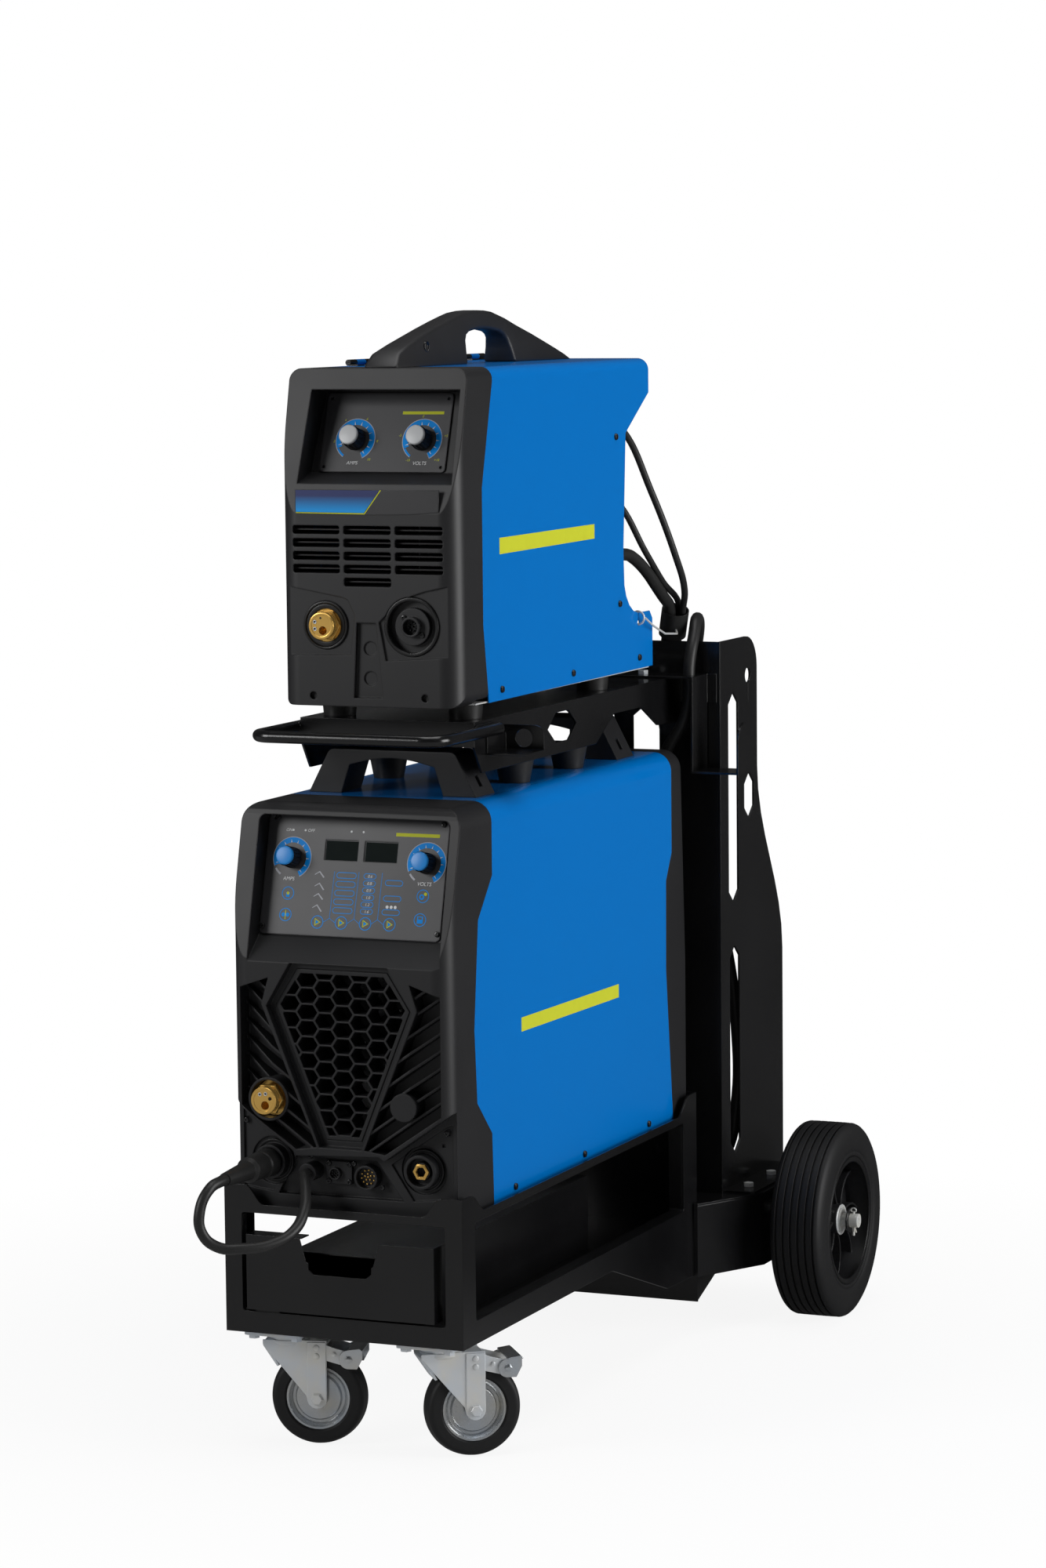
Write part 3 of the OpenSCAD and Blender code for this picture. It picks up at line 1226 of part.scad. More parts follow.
module drive_roll() color(zinc) at_cart() translate([wire_x, roll_y, wire_z - roll_r - 0.6])
    rotate([0, 90, 0]) rotate_extrude() polygon([[5 + fit, -6], [roll_r - 3, -6], [roll_r, -4.5],
        [roll_r, -0.8], [roll_r - 0.8, 0], [roll_r, 0.8], [roll_r, 4.5], [roll_r - 3, 6], [5 + fit, 6]]);

module pressure_roll() color(zinc) at_cart() translate([wire_x, roll_y, wire_z + roll_r + 0.6])
    rotate([0, 90, 0]) rotate_extrude() polygon([[4 + fit, -6], [roll_r - 1, -6], [roll_r, -5], [roll_r, 5],
        [roll_r - 1, 6], [4 + fit, 6]]);

module pressure_arm() color(steel_black) at_cart() translate([0, roll_y, wire_z]) difference() {
    up = roll_r + 0.6;
    union() {
        for (x = [wire_x - 11, wire_x + 7]) yz(x, 4) {
            polygon([[38, 13], [44, 22], [38, 31], [20, up + 19], [-30, up + 19], [-30, up + 6],
                [-6, up - 8], [6, up - 8]]);
        }
        block([wire_x - 11, -30, up + 16], [wire_x + 11, 20, up + 19]);
        translate([0, 0, up]) xrod(4, wire_x - 9, wire_x + 9);
        // Tension screw
        translate([wire_x, -24, up + 18]) cylinder(r = 4, h = 26);
        translate([wire_x, -24, up + 30]) cylinder(r = 8, h = 26);
    }
    translate([0, 38, 22]) xrod(4 + fit, wire_x - 16, -40);
}

base_frame();
drawer_housing();
drawer();
gas_platform();
gas_rack();
wheel_axle();
feeder_shelf();
shelf_handle();
torch_holder();
lead_hanger();
rubber_feet();
fasteners();
castor_plates();
castor_fork_left();
castor_fork_right();
castor_tyre_left();
castor_tyre_right();
castor_rim_left();
castor_rim_right();
castor_brake_left();
castor_brake_right();
rear_tyre_left();
rear_tyre_right();
rear_rim_left();
rear_rim_right();
power_base();
power_cover();
power_front_panel();
power_rear_panel();
power_fascia();
power_grille();
power_handles();
power_torch_socket();
power_sockets();
current_knob();
voltage_knob();
power_fan();
power_switch();
cable_plugs();
polarity_lead();
weld_cable();
control_cable();
gas_hose();
cable_wrap();
snap_hook();
feeder_base();
feeder_cover();
feeder_door();
door_hinges();
feeder_front_panel();
feeder_fascia();
speed_knob();
trim_knob();
feeder_handle();
feeder_sockets();
wire_spool();
wire_drive();
drive_roll();
pressure_arm();
pressure_roll();
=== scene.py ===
import bpy, json, math
from mathutils import Matrix, Vector


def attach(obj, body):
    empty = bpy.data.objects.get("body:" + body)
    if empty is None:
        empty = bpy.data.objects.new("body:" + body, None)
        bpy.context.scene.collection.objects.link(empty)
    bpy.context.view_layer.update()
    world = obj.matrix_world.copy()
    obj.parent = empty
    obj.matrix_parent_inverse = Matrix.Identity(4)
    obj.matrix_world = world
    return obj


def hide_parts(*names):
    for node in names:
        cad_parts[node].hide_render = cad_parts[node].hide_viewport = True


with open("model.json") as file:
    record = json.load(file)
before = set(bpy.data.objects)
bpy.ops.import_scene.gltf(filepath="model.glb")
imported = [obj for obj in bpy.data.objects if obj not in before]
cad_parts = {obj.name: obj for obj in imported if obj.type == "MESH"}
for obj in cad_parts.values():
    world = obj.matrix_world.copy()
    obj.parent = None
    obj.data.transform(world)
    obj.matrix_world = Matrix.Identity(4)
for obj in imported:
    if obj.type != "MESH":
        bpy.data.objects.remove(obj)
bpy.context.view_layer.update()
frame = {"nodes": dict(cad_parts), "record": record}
cadNodes = frame["nodes"]
scene = bpy.context.scene


# The camera's place and turn in the row frame
cameraView = {
    "place": (2.4662, -5.7377, 1.4951),
    "yaw": 23.134,       # degrees round from looking along +Y
    "pitch": 6.295,      # degrees down
    "roll": -0.572,
    "lens": 105.7,       # mm, on a sensor along the frame's long side
    "sensor": 36,
    "clip": 60,
}


def makeCamera():
    yaw, pitch, roll = (math.radians(cameraView[k]) for k in ("yaw", "pitch", "roll"))
    ahead = Vector((-math.sin(yaw) * math.cos(pitch), math.cos(yaw) * math.cos(pitch), -math.sin(pitch)))
    right = Vector((math.cos(yaw), math.sin(yaw), 0))
    up = right.cross(ahead)
    rightRolled = math.cos(roll) * right + math.sin(roll) * up
    upRolled = -math.sin(roll) * right + math.cos(roll) * up
    data = bpy.data.cameras.new("camera")
    data.lens = cameraView["lens"]
    data.sensor_width = cameraView["sensor"]
    data.clip_end = cameraView["clip"]
    cam = bpy.data.objects.new("camera", data)
    scene.collection.objects.link(cam)
    turn = Matrix((rightRolled, upRolled, -ahead)).transposed().to_4x4()
    cam.matrix_world = Matrix.Translation(cameraView["place"]) @ turn
    scene.camera = cam


# Socket of a node that adds, subtracts and multiplies like a number
class Value:
    def __init__(self, mat, socket):
        self.mat = mat
        self.socket = socket

    def math(self, operation, other=0.0, swap=False):
        a, b = (other, self) if swap else (self, other)
        return self.mat.node("Math", {"operation": operation}, {0: a, 1: b})

    def __add__(self, other):
        return self.math("ADD", other)

    def __sub__(self, other):
        return self.math("SUBTRACT", other)

    def __rsub__(self, other):
        return self.math("SUBTRACT", other, swap=True)

    def __mul__(self, other):
        return self.math("MULTIPLY", other)

    __radd__ = __add__
    __rmul__ = __mul__


class Finish:
    def __init__(self, name):
        self.material = bpy.data.materials.new(name)
        self.material.use_nodes = True
        self.tree = self.material.node_tree
        self.shader = self.tree.nodes["Principled BSDF"]
        self.place = self.node("TexCoord", output="Object")

    # One node of a type, its settings first, then the values or links of its sockets
    def node(self, kind, settings=None, sockets=None, output=0):
        made = self.tree.nodes.new("ShaderNode" + kind)
        for key, value in (settings or {}).items():
            if key == "stops":
                ramp = made.color_ramp
                while len(ramp.elements) < len(value):
                    ramp.elements.new(0.5)
                for element, (at, shade) in zip(ramp.elements, value):
                    element.position = at
                    element.color = (*shade, 1) if hasattr(shade, "__len__") else (shade, shade, shade, 1)
            else:
                setattr(made, key, value)
        for key, value in (sockets or {}).items():
            self.feed(made.inputs[key], value)
        return Value(self, made.outputs[output])

    def feed(self, into, value):
        if isinstance(value, Value):
            self.tree.links.new(value.socket, into)
        elif hasattr(value, "__len__") and len(value) == 3 and into.type == "RGBA":
            into.default_value = (*value, 1)
        else:
            into.default_value = value

    def set(self, **sockets):
        for key, value in sockets.items():
            self.feed(self.shader.inputs[key.replace("_", " ")], value)
        return self

    def noise(self, scale, detail=2.0, roughness=0.5, stretch=None):
        place = self.place
        if stretch:
            place = self.node("Mapping", sockets={"Vector": place, "Scale": stretch})
        return self.node("TexNoise", sockets={"Vector": place, "Scale": scale, "Detail": detail,
                                              "Roughness": roughness})

    def ramp(self, value, stops):
        return self.node("ValToRGB", {"stops": stops}, {"Fac": value})

    def mix(self, factor, a, b):
        return self.node("Mix", {"data_type": "RGBA"}, {0: factor, 6: a, 7: b}, output=2)

    def bump(self, height, strength, distance, soft=0.0):
        sockets = {"Height": height, "Strength": strength, "Distance": distance}
        if soft:
            sockets["Normal"] = self.node("Bevel", {"samples": 4}, {"Radius": soft})
        return self.set(Normal=self.node("Bump", sockets=sockets))


finishValues = {
    "powderBlack": (0.0042, 0.0042, 0.0046),
    "caseBlue": (0.0, 0.138, 0.458),
    "moulded": (0.011, 0.011, 0.0122),
    "fasciaGrey": (0.034, 0.034, 0.037),
    "zincPale": (0.60, 0.61, 0.61),
    "brassGold": (0.80, 0.50, 0.13),
    "cordBlack": (0.014, 0.014, 0.014),
    "tyreBlack": (0.0075, 0.0075, 0.008),
    "knobBlue": (0.01, 0.20, 0.56),
}


# Powder coat: satin black with a fine orange peel and faint dust
def powderCoat(name="powderCoat", shade=None):
    f = Finish(name)
    peel = f.noise(420, 2)
    cloud = f.noise(6, 3)
    tone = shade or finishValues["powderBlack"]
    dusty = f.mix(f.ramp(cloud, [(0.35, 0), (0.75, 1)]) * 0.5, tone, [c * 1.5 + 0.003 for c in tone])
    f.set(Base_Color=dusty, Roughness=0.17 + cloud * 0.08, Specular_IOR_Level=0.45)
    f.bump(peel, 0.12, 0.0004, soft=0.0011)
    return f.material


# Gloss enamel on sheet steel: slight orange peel under a clear coat
def glossEnamel(name, shade):
    f = Finish(name)
    peel = f.noise(260, 1)
    cloud = f.noise(3, 2)
    f.set(Base_Color=f.mix(cloud * 0.2, shade, [c * 0.94 for c in shade]), Roughness=0.16 + cloud * 0.04,
          Specular_IOR_Level=0.14)
    f.bump(peel, 0.05, 0.0003, soft=0.0008)
    return f.material


# Moulded plastic: fine spark-eroded grain
def mouldedPlastic(name, shade, rough=0.5, grain=900):
    f = Finish(name)
    fine = f.noise(grain, 2, 0.6)
    cloud = f.noise(9, 2)
    f.set(Base_Color=f.mix(cloud * 0.5, shade, [c * 1.25 for c in shade]),
          Roughness=rough - 0.1 + cloud * 0.1, Specular_IOR_Level=0.4)
    f.bump(fine, 0.16, 0.0003, soft=0.0022)
    return f.material


# Zinc plating: pale, faintly blue and yellow in clouds, with fine spangle
def zincPlate(name="zincPlate", rough=0.3, depth=1.0, metal=0.3):
    f = Finish(name)
    cloud = f.noise(22, 3)
    fine = f.noise(300, 3)
    tint = f.ramp(cloud, [(0.3, (0.55 * depth, 0.60 * depth, 0.66 * depth)),
                          (0.55, tuple(c * depth for c in finishValues["zincPale"])),
                          (0.8, (0.66 * depth, 0.63 * depth, 0.54 * depth))])
    f.set(Base_Color=tint, Metallic=metal, Roughness=rough + fine * 0.16)
    f.bump(fine, 0.08, 0.0003, soft=0.0006)
    return f.material


def turnedBrass():
    f = Finish("turnedBrass")
    fine = f.noise(120, 2, stretch=(1, 10, 1))
    f.set(Base_Color=f.mix(fine * 0.5, finishValues["brassGold"], (0.60, 0.34, 0.08)), Metallic=0.72,
          Roughness=0.2 + fine * 0.08)
    f.bump(fine, 0.01, 0.0002, soft=0.0004)
    return f.material


def rubberSkin(name, shade, rough=0.55, grain=500):
    f = Finish(name)
    fine = f.noise(grain, 3)
    cloud = f.noise(14, 3)
    f.set(Base_Color=f.mix(cloud * 0.6, shade, [c * 1.7 for c in shade]), Roughness=rough + cloud * 0.12,
          Specular_IOR_Level=0.3)
    f.bump(fine, 0.15, 0.0004, soft=0.001)
    return f.material


def makeFinishes():
    v = finishValues
    return {
        "black_steel": powderCoat(),
        "blue_paint": glossEnamel("blueEnamel", v["caseBlue"]),
        "black_moulding": mouldedPlastic("caseMoulding", v["moulded"]),
        "fascia": mouldedPlastic("fasciaFilm", v["fasciaGrey"], 0.42, 1400),
        "zinc": zincPlate(),
        "aluminium_rim": zincPlate("pressedRim", 0.16, 0.8, 0.8),
        "brass": turnedBrass(),
        "rubber": rubberSkin("cordRubber", v["cordBlack"], 0.36),
        "tyre": rubberSkin("tyreRubber", v["tyreBlack"], 0.5, 260),
        "knob_blue": mouldedPlastic("knobBlue", v["knobBlue"], 0.38),
        "knob_grey": mouldedPlastic("knobGrey", (0.42, 0.43, 0.44), 0.38),
        "switch_red": mouldedPlastic("switchRed", (0.42, 0.01, 0.01), 0.4),
        "darkScrew": powderCoat("darkScrew", (0.01, 0.01, 0.011)),
        "chrome": zincPlate("chromeTread", 0.12, 1.0, 0.9),
        "socketBlack": mouldedPlastic("socketBlack", (0.006, 0.006, 0.0065), 0.34),
        "pinSteel": zincPlate("pinSteel", 0.2),
    }


def paintFrame(finishes):
    for entry in frame["record"]["subparts"]:
        mesh = cadNodes[entry["node"]].data
        mesh.materials.clear()
        mesh.materials.append(finishes[entry["material_slot"]])


# Cord routes are the CAD model's, in metres
cordRoutes = {
    "polarityLead": {"node": "polarity_lead", "diameter": 0.014, "length": 0.34, "route": [
        (-0.105, -0.68, 0.377), (-0.105, -0.689, 0.377), (-0.11, -0.712, 0.371),
        (-0.116, -0.728, 0.346), (-0.113, -0.729, 0.318), (-0.097, -0.719, 0.3), (-0.072, -0.7, 0.296),
        (-0.046, -0.672, 0.298), (-0.029, -0.642, 0.31), (-0.027, -0.616, 0.33), (-0.036, -0.592, 0.35),
        (-0.046, -0.574, 0.363), (-0.05, -0.566, 0.367), (-0.05, -0.558, 0.367)]},
    "weldCable": {"node": "weld_cable", "diameter": 0.017, "length": 2.52, "route": [
        (0.1, 0.144, 1.112), (0.1, 0.154, 1.112), (0.103, 0.182, 1.108), (0.113, 0.276, 1.047),
        (0.11, 0.31, 1.027), (0.104, 0.324, 1.005), (0.097, 0.333, 0.981), (0.086, 0.346, 0.936),
        (0.074, 0.372, 0.88), (0.076, 0.4, 0.808), (0.097, 0.415, 0.725), (0.147, 0.418, 0.555),
        (0.167, 0.418, 0.42), (0.166, 0.418, 0.3), (0.145, 0.418, 0.224), (0.117, 0.416, 0.204),
        (0.086, 0.414, 0.226), (0.068, 0.414, 0.3), (0.057, 0.424, 0.52), (0.057, 0.438, 0.74),
        (0.072, 0.442, 0.86), (0.097, 0.43, 0.932), (0.121, 0.396, 0.99), (0.137, 0.346, 1.01),
        (0.145, 0.312, 0.985), (0.146, 0.295, 0.956), (0.146, 0.291, 0.936), (0.146, 0.291, 0.908),
        (0.138, 0.289, 0.87), (0.112, 0.288, 0.825), (0.095, 0.298, 0.725), (0.092, 0.3, 0.59),
        (0.092, 0.288, 0.534), (0.092, 0.27, 0.514), (0.092, 0.256, 0.508), (0.092, 0.246, 0.508)]},
    "controlCable": {"node": "control_cable", "diameter": 0.009, "length": 0.91, "route": [
        (0.084, 0.132, 1.191), (0.084, 0.142, 1.191), (0.088, 0.168, 1.184), (0.109, 0.224, 1.11),
        (0.116, 0.268, 1.068), (0.119, 0.326, 1.028), (0.106, 0.345, 0.983), (0.097, 0.363, 0.93),
        (0.08, 0.364, 0.79), (0.065, 0.336, 0.71), (0.055, 0.3, 0.625), (0.047, 0.288, 0.512),
        (0.045, 0.272, 0.466), (0.045, 0.242, 0.447), (0.045, 0.23, 0.447)]},
    "gasHose": {"node": "gas_hose", "diameter": 0.0095, "length": 0.86, "route": [
        (0.096, 0.13, 1.29), (0.096, 0.14, 1.29), (0.099, 0.164, 1.283), (0.118, 0.222, 1.196),
        (0.14, 0.256, 1.106), (0.141, 0.288, 1.058), (0.127, 0.318, 1.025), (0.112, 0.338, 0.978),
        (0.109, 0.355, 0.925), (0.1, 0.362, 0.82), (0.082, 0.342, 0.7), (0.07, 0.302, 0.642),
        (0.066, 0.258, 0.624), (0.066, 0.218, 0.62), (0.066, 0.206, 0.62)]},
}


def makeCord(name, material):
    spec = cordRoutes[name]
    obj = curveObject(name, dimensions="3D", bevel_depth=spec["diameter"] / 2, bevel_resolution=4,
                      resolution_u=8, use_fill_caps=True)
    bezierThrough(obj.data, spec["route"])
    obj.data.materials.append(material)
    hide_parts(spec["node"])
    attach(obj, "cart")
    return obj


def makeCords(finishes):
    for name, spec in cordRoutes.items():
        makeCord(name, finishes["rubber"])
    print("cords done")


def pick(obj):
    bpy.ops.object.select_all(action="DESELECT")
    obj.select_set(True)
    bpy.context.view_layer.objects.active = obj


# A finished piece: its place goes into its mesh, and it rides a body
def settle(obj, name, body, finish):
    pick(obj)
    bpy.ops.object.transform_apply(location=True, rotation=True, scale=True)
    obj.name = name
    obj.data.materials.clear()
    obj.data.materials.append(finish)
    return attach(obj, body)


def useModifier(obj, kind, **values):
    pick(obj)
    made = obj.modifiers.new(kind.lower(), kind)
    for key, value in values.items():
        setattr(made, key, value)
    bpy.ops.object.modifier_apply(modifier=made.name)


def joined(objs, name):
    pick(objs[0])
    for o in objs:
        o.select_set(True)
    bpy.ops.object.join()
    bpy.context.object.name = name
    return bpy.context.object


def settleJoined(objs, name, body, finish):
    return settle(joined(objs, name), name, body, finish)


# Line of edges drawn by extruding one vertex from point to point; edit mode stays on
def drawnLine(points):
    bpy.ops.object.select_all(action="DESELECT")
    bpy.ops.mesh.primitive_plane_add(size=1, calc_uvs=False, location=(0, 0, 0))
    bpy.ops.object.mode_set(mode="EDIT")
    bpy.ops.mesh.select_all(action="SELECT")
    bpy.ops.mesh.merge(type="CENTER")
    bpy.ops.transform.translate(value=points[0])
    for a, b in zip(points, points[1:]):
        step = Vector(b) - Vector(a)
        bpy.ops.mesh.extrude_vertices_move(TRANSFORM_OT_translate={"value": step})
    bpy.ops.mesh.select_all(action="SELECT")
    return bpy.context.object


# Turned piece: the profile is [distance along the axis, radius], spun about the axis from a place
def turned(profile, place, axis, steps=48, smooth=35):
    obj = drawnLine([(r, 0, d) for d, r in profile])
    bpy.ops.mesh.spin(steps=steps, angle=2 * math.pi, center=(0, 0, 0), axis=(0, 0, 1))
    bpy.ops.mesh.select_all(action="SELECT")
    bpy.ops.mesh.remove_doubles(threshold=0.00001)
    bpy.ops.mesh.normals_make_consistent(inside=False)
    bpy.ops.object.mode_set(mode="OBJECT")
    bpy.ops.object.shade_smooth_by_angle(angle=math.radians(smooth))
    turn = Vector((0, 0, 1)).rotation_difference(Vector(axis)).to_matrix().to_4x4()
    obj.matrix_world = Matrix.Translation(place) @ turn
    return obj


# The same in millimetres
def turnedFine(profile, place, axis, steps=48, smooth=35):
    metres = [(d / 1000, r / 1000) for d, r in profile]
    return turned(metres, tuple(v / 1000 for v in place), axis, steps, smooth)


# Plate of an outline's shape, its edge closed and filled and then extruded
def drawnPlate(outline, thickness):
    obj = drawnLine(outline)
    bpy.ops.mesh.edge_face_add()
    bpy.ops.mesh.extrude_region_move(TRANSFORM_OT_translate={"value": thickness})
    bpy.ops.mesh.select_all(action="SELECT")
    bpy.ops.mesh.normals_make_consistent(inside=False)
    bpy.ops.object.mode_set(mode="OBJECT")
    return obj


def curveObject(name, **settings):
    data = bpy.data.curves.new(name, "CURVE")
    for key, value in settings.items():
        setattr(data, key, value)
    obj = bpy.data.objects.new(name, data)
    scene.collection.objects.link(obj)
    return obj


def madeMesh(obj):
    pick(obj)
    bpy.ops.object.convert(target="MESH")
    return bpy.context.object


# Straight lines through points
def polyThrough(data, points, closed):
    spline = data.splines.new("POLY")
    spline.points.add(len(points) - 1)
    for point, place in zip(spline.points, points):
        point.co = (*place, 1)
    spline.use_cyclic_u = closed
    return spline


# Smooth curve through points
def bezierThrough(data, points):
    spline = data.splines.new("BEZIER")
    spline.bezier_points.add(len(points) - 1)
    for bend, place in zip(spline.bezier_points, points):
        bend.co = place
        bend.handle_left_type = "AUTO"
        bend.handle_right_type = "AUTO"


# Panels that carry print, screws or the grille: foot and film in metres, lean in degrees where it leans
panels = {
    "power": {"foot": (0, -0.529, 0.666), "lean": 14.5, "film": 0.0022},
    "feeder": {"foot": (0, -0.412, 1.248), "lean": 18.6, "film": 0.0022},
    "powerLow": {"foot": (0, -0.542, 0)},
    "powerPlate": {"foot": (0, -0.539, 0)},
    "feederDisc": {"foot": (0, -0.456, 0)},
    "strip": {"foot": (0, -0.460, 1.199)},
    "grille": {"foot": (0, -0.5431, 0.314)},
    "powerSide": {"foot": (0.152, 0, 0), "side": True},
    "feederSide": {"foot": (0.124, 0, 0), "side": True},
}


# Matrix from a panel's millimetres (across, up, out) to the row frame
def panelMatrix(name):
    spec = panels[name]
    if spec.get("side"):
        across, up = Vector((0, 1, 0)), Vector((0, 0, 1))
    else:
        lean = math.radians(spec.get("lean", 0))
        across, up = Vector((1, 0, 0)), Vector((0, math.sin(lean), math.cos(lean)))
    out = across.cross(up)
    turn = Matrix((across, up, out)).transposed().to_4x4()
    face = Vector(spec["foot"]) + out * spec.get("film", 0)
    return Matrix.Translation(face) @ turn @ Matrix.Scale(0.001, 4)


# Direction in which a panel faces
def panelOut(to):
    return (to.to_3x3() @ Vector((0, 0, 1))).normalized()


def arcLine(c, r, start, end, n=10):
    angles = [math.radians(start + (end - start) * i / n) for i in range(n + 1)]
    return [(c[0] + r * math.cos(a), c[1] + r * math.sin(a)) for a in angles]


def circleLine(c, r, n=40):
    return arcLine(c, r, 0, 360, n)[:-1]


def bandLine(c, inner, outer, start, end, n):
    return arcLine(c, outer, start, end, n) + arcLine(c, inner, end, start, n)


def pillLine(c, w, h, n=10):
    r, reach = h / 2, w / 2 - h / 2
    return arcLine((c[0] + reach, c[1]), r, -90, 90, n) + arcLine((c[0] - reach, c[1]), r, 90, 270, n)


def boxLine(c, w, h):
    return [(c[0] - w / 2, c[1] - h / 2), (c[0] + w / 2, c[1] - h / 2),
            (c[0] + w / 2, c[1] + h / 2), (c[0] - w / 2, c[1] + h / 2)]


def barLine(a, b, w):
    d = Vector(b) - Vector(a)
    n = Vector((-d.y, d.x)).normalized() * w / 2
    return [tuple(Vector(a) + n), tuple(Vector(a) - n), tuple(Vector(b) - n), tuple(Vector(b) + n)]


# Flat print of closed outlines, a tenth of a millimetre thick, on a panel
def flatPrint(name, panel, outlines, finish, raised=0.0, thick=0.12):
    flat = curveObject(name, dimensions="2D", fill_mode="BOTH", extrude=thick / 2)
    for line in outlines:
        polyThrough(flat.data, [(*place, 0) for place in line], True)
    obj = madeMesh(flat)
    obj.matrix_world = panelMatrix(panel) @ Matrix.Translation((0, 0, thick / 2 + raised))
    return settle(obj, name, "cart", finish)


# Generic characters, such as the numbers round a dial
def flatText(name, panel, words, finish, thick=0.1):
    made = []
    for text, x, up, size in words:
        data = bpy.data.curves.new(name, "FONT")
        data.body = text
        data.size = size
        data.shear = 0.2
        data.extrude = thick / 2
        data.align_x = "CENTER"
        data.align_y = "CENTER"
        obj = bpy.data.objects.new(name, data)
        scene.collection.objects.link(obj)
        obj = madeMesh(obj)
        obj.matrix_world = panelMatrix(panel) @ Matrix.Translation((x, up, thick / 2))
        made.append(obj)
    return settleJoined(made, name, "cart", finish)


def printInk(name, shade, rough=0.4, shine=0.1):
    f = Finish(name)
    cloud = f.noise(60, 2)
    f.set(Base_Color=f.mix(cloud * 0.4, shade, [c * 0.8 for c in shade]), Roughness=rough + cloud * 0.05,
          Specular_IOR_Level=shine)
    return f.material


# Print that runs from one shade to another between two heights
def gradedInk(name, low, high, lowShade, highShade):
    f = Finish(name)
    height = f.node("SeparateXYZ", sockets={"Vector": f.place}, output=2)
    share = (height - low) * (1 / (high - low))
    f.set(Base_Color=f.ramp(share, [(0.1, lowShade), (0.75, highShade)]), Roughness=0.4,
          Specular_IOR_Level=0.3)
    return f.material


def makeInks():
    return {
        "blue": printInk("inkBlue", (0.0, 0.26, 0.78)),
        "white": printInk("inkWhite", (0.72, 0.73, 0.74)),
        "pale": printInk("inkPale", (0.42, 0.43, 0.47)),
        "lime": printInk("inkLime", (0.52, 0.55, 0.03)),
        "display": printInk("displayGlass", (0.002, 0.006, 0.0055), 0.5, 0.06),
        "strip": mouldedPlastic("stripPlate", (0.026, 0.026, 0.028), 0.4, 1200),
        "stripBlue": gradedInk("stripBlue", 1.199, 1.228, (0.0, 0.27, 0.68), (0.022, 0.032, 0.12)),
    }


# Control panel of the power source, in millimetres from its foot: a ring's bands are inner and outer
# radius, start and end in degrees, and steps; its marks are inner and outer radius and half width
powerPrint = {
    "rings": [(-89.0, 99.0), (98.5, 99.0)],
    "blueBands": [(19.5, 26.2, -62, 205, 36)],
    "paleBands": [(26.2, 27.1, -63, 206, 36), (24.6, 27.1, 213, 236, 8)],
    "marks": (19.6, 24.0, 0.75),
    "materialPills": [(-10.7, 79.2), (-11.0, 67.9), (-11.4, 56.6), (-11.8, 45.5), (-12.0, 34.3)],
    "sizePills": [(22.0, 79.5), (21.9, 70.4), (21.8, 61.4), (21.6, 52.4), (21.4, 43.4), (21.4, 34.5)],
    "modePills": [(56.0, 72.2), (55.5, 52.4), (55.1, 35.0)],
    "pillSizes": {"materialPills": (28, 8), "sizePills": (17.6, 7.4), "modePills": (25, 7.6)},
    "pillLine": 0.85,
    "sizes": ["0.6", "0.8", "0.9", "1.0", "1.2", "1.6"],
    "rules": [((-27.9, 83.8), (-29.1, 23.8)), ((-29.1, 23.8), (-37.4, 18.5)), ((-29.1, 23.8), (-20.7, 18.3)),
              ((6.3, 84.2), (5.2, 24.5)), ((5.2, 24.5), (-4.1, 18.2)), ((5.2, 24.5), (13.1, 18.5)),
              ((38.8, 84.6), (37.9, 25.0)), ((37.9, 25.0), (29.2, 18.9)), ((37.9, 25.0), (46.7, 18.8))],
    "arrowKeys": [(-45.6, 18.4), (-12.3, 18.7), (21.2, 19.0), (54.8, 19.5)],
    "plainKeys": [(-90.3, 53.4), (-91.2, 25.9), (97.4, 57.4), (96.3, 27.3)],
    "lamps": [(-9.3, 135.4), (7.5, 135.4), (-90.8, 134.6), (-73.9, 134.7)],
    "dots": [(49.6, 41.6), (55.2, 41.6), (60.8, 41.6)],
    "torches": [(-47.0, 78.9), (-45.9, 64.1), (-46.1, 50.8), (-46.5, 36.3)],
    "displays": [(-20.0, 110.0), (35.3, 110.0)],
    "display": (45.8, 25.6),
    "limeBar": [(53, 131.8), (113.3, 132.0), (113.3, 136.4), (53, 136.2)],
    "words": [("ON", -97.0, 134.4, 5.4), ("OFF", -66.0, 134.6, 5.4), ("AMPS", -91.3, 72.0, 6.6),
              ("VOLTS", 97.5, 72.6, 6.6)],
}


# Wedge marks round a dial, in degrees
dialValues = {"marks": 11, "first": -52, "step": 25}


def dialMarks(centre, inner, outer, half):
    marks = []
    for i in range(dialValues["marks"]):
        a = math.radians(dialValues["first"] + i * dialValues["step"])
        d = Vector((math.cos(a), math.sin(a)))
        n = Vector((-d.y, d.x)) * half
        c = Vector(centre)
        marks.append([tuple(c + d * inner + n), tuple(c + d * inner - n), tuple(c + d * outer)])
    return marks


# Blue and pale bands round a panel's knobs, and their white marks
def dialLines(spec):
    blue, pale, white = [], [], []
    for c in spec["rings"]:
        blue += [bandLine(c, *band) for band in spec["blueBands"]]
        pale += [bandLine(c, *band) for band in spec["paleBands"]]
        white += dialMarks(c, *spec["marks"])
    return blue, pale, white


# Arrow that points right, from its back edge to its tip
def arrowLine(x, up, back, front, half):
    return [(x + back, up + half), (x + back, up - half), (x + front, up)]


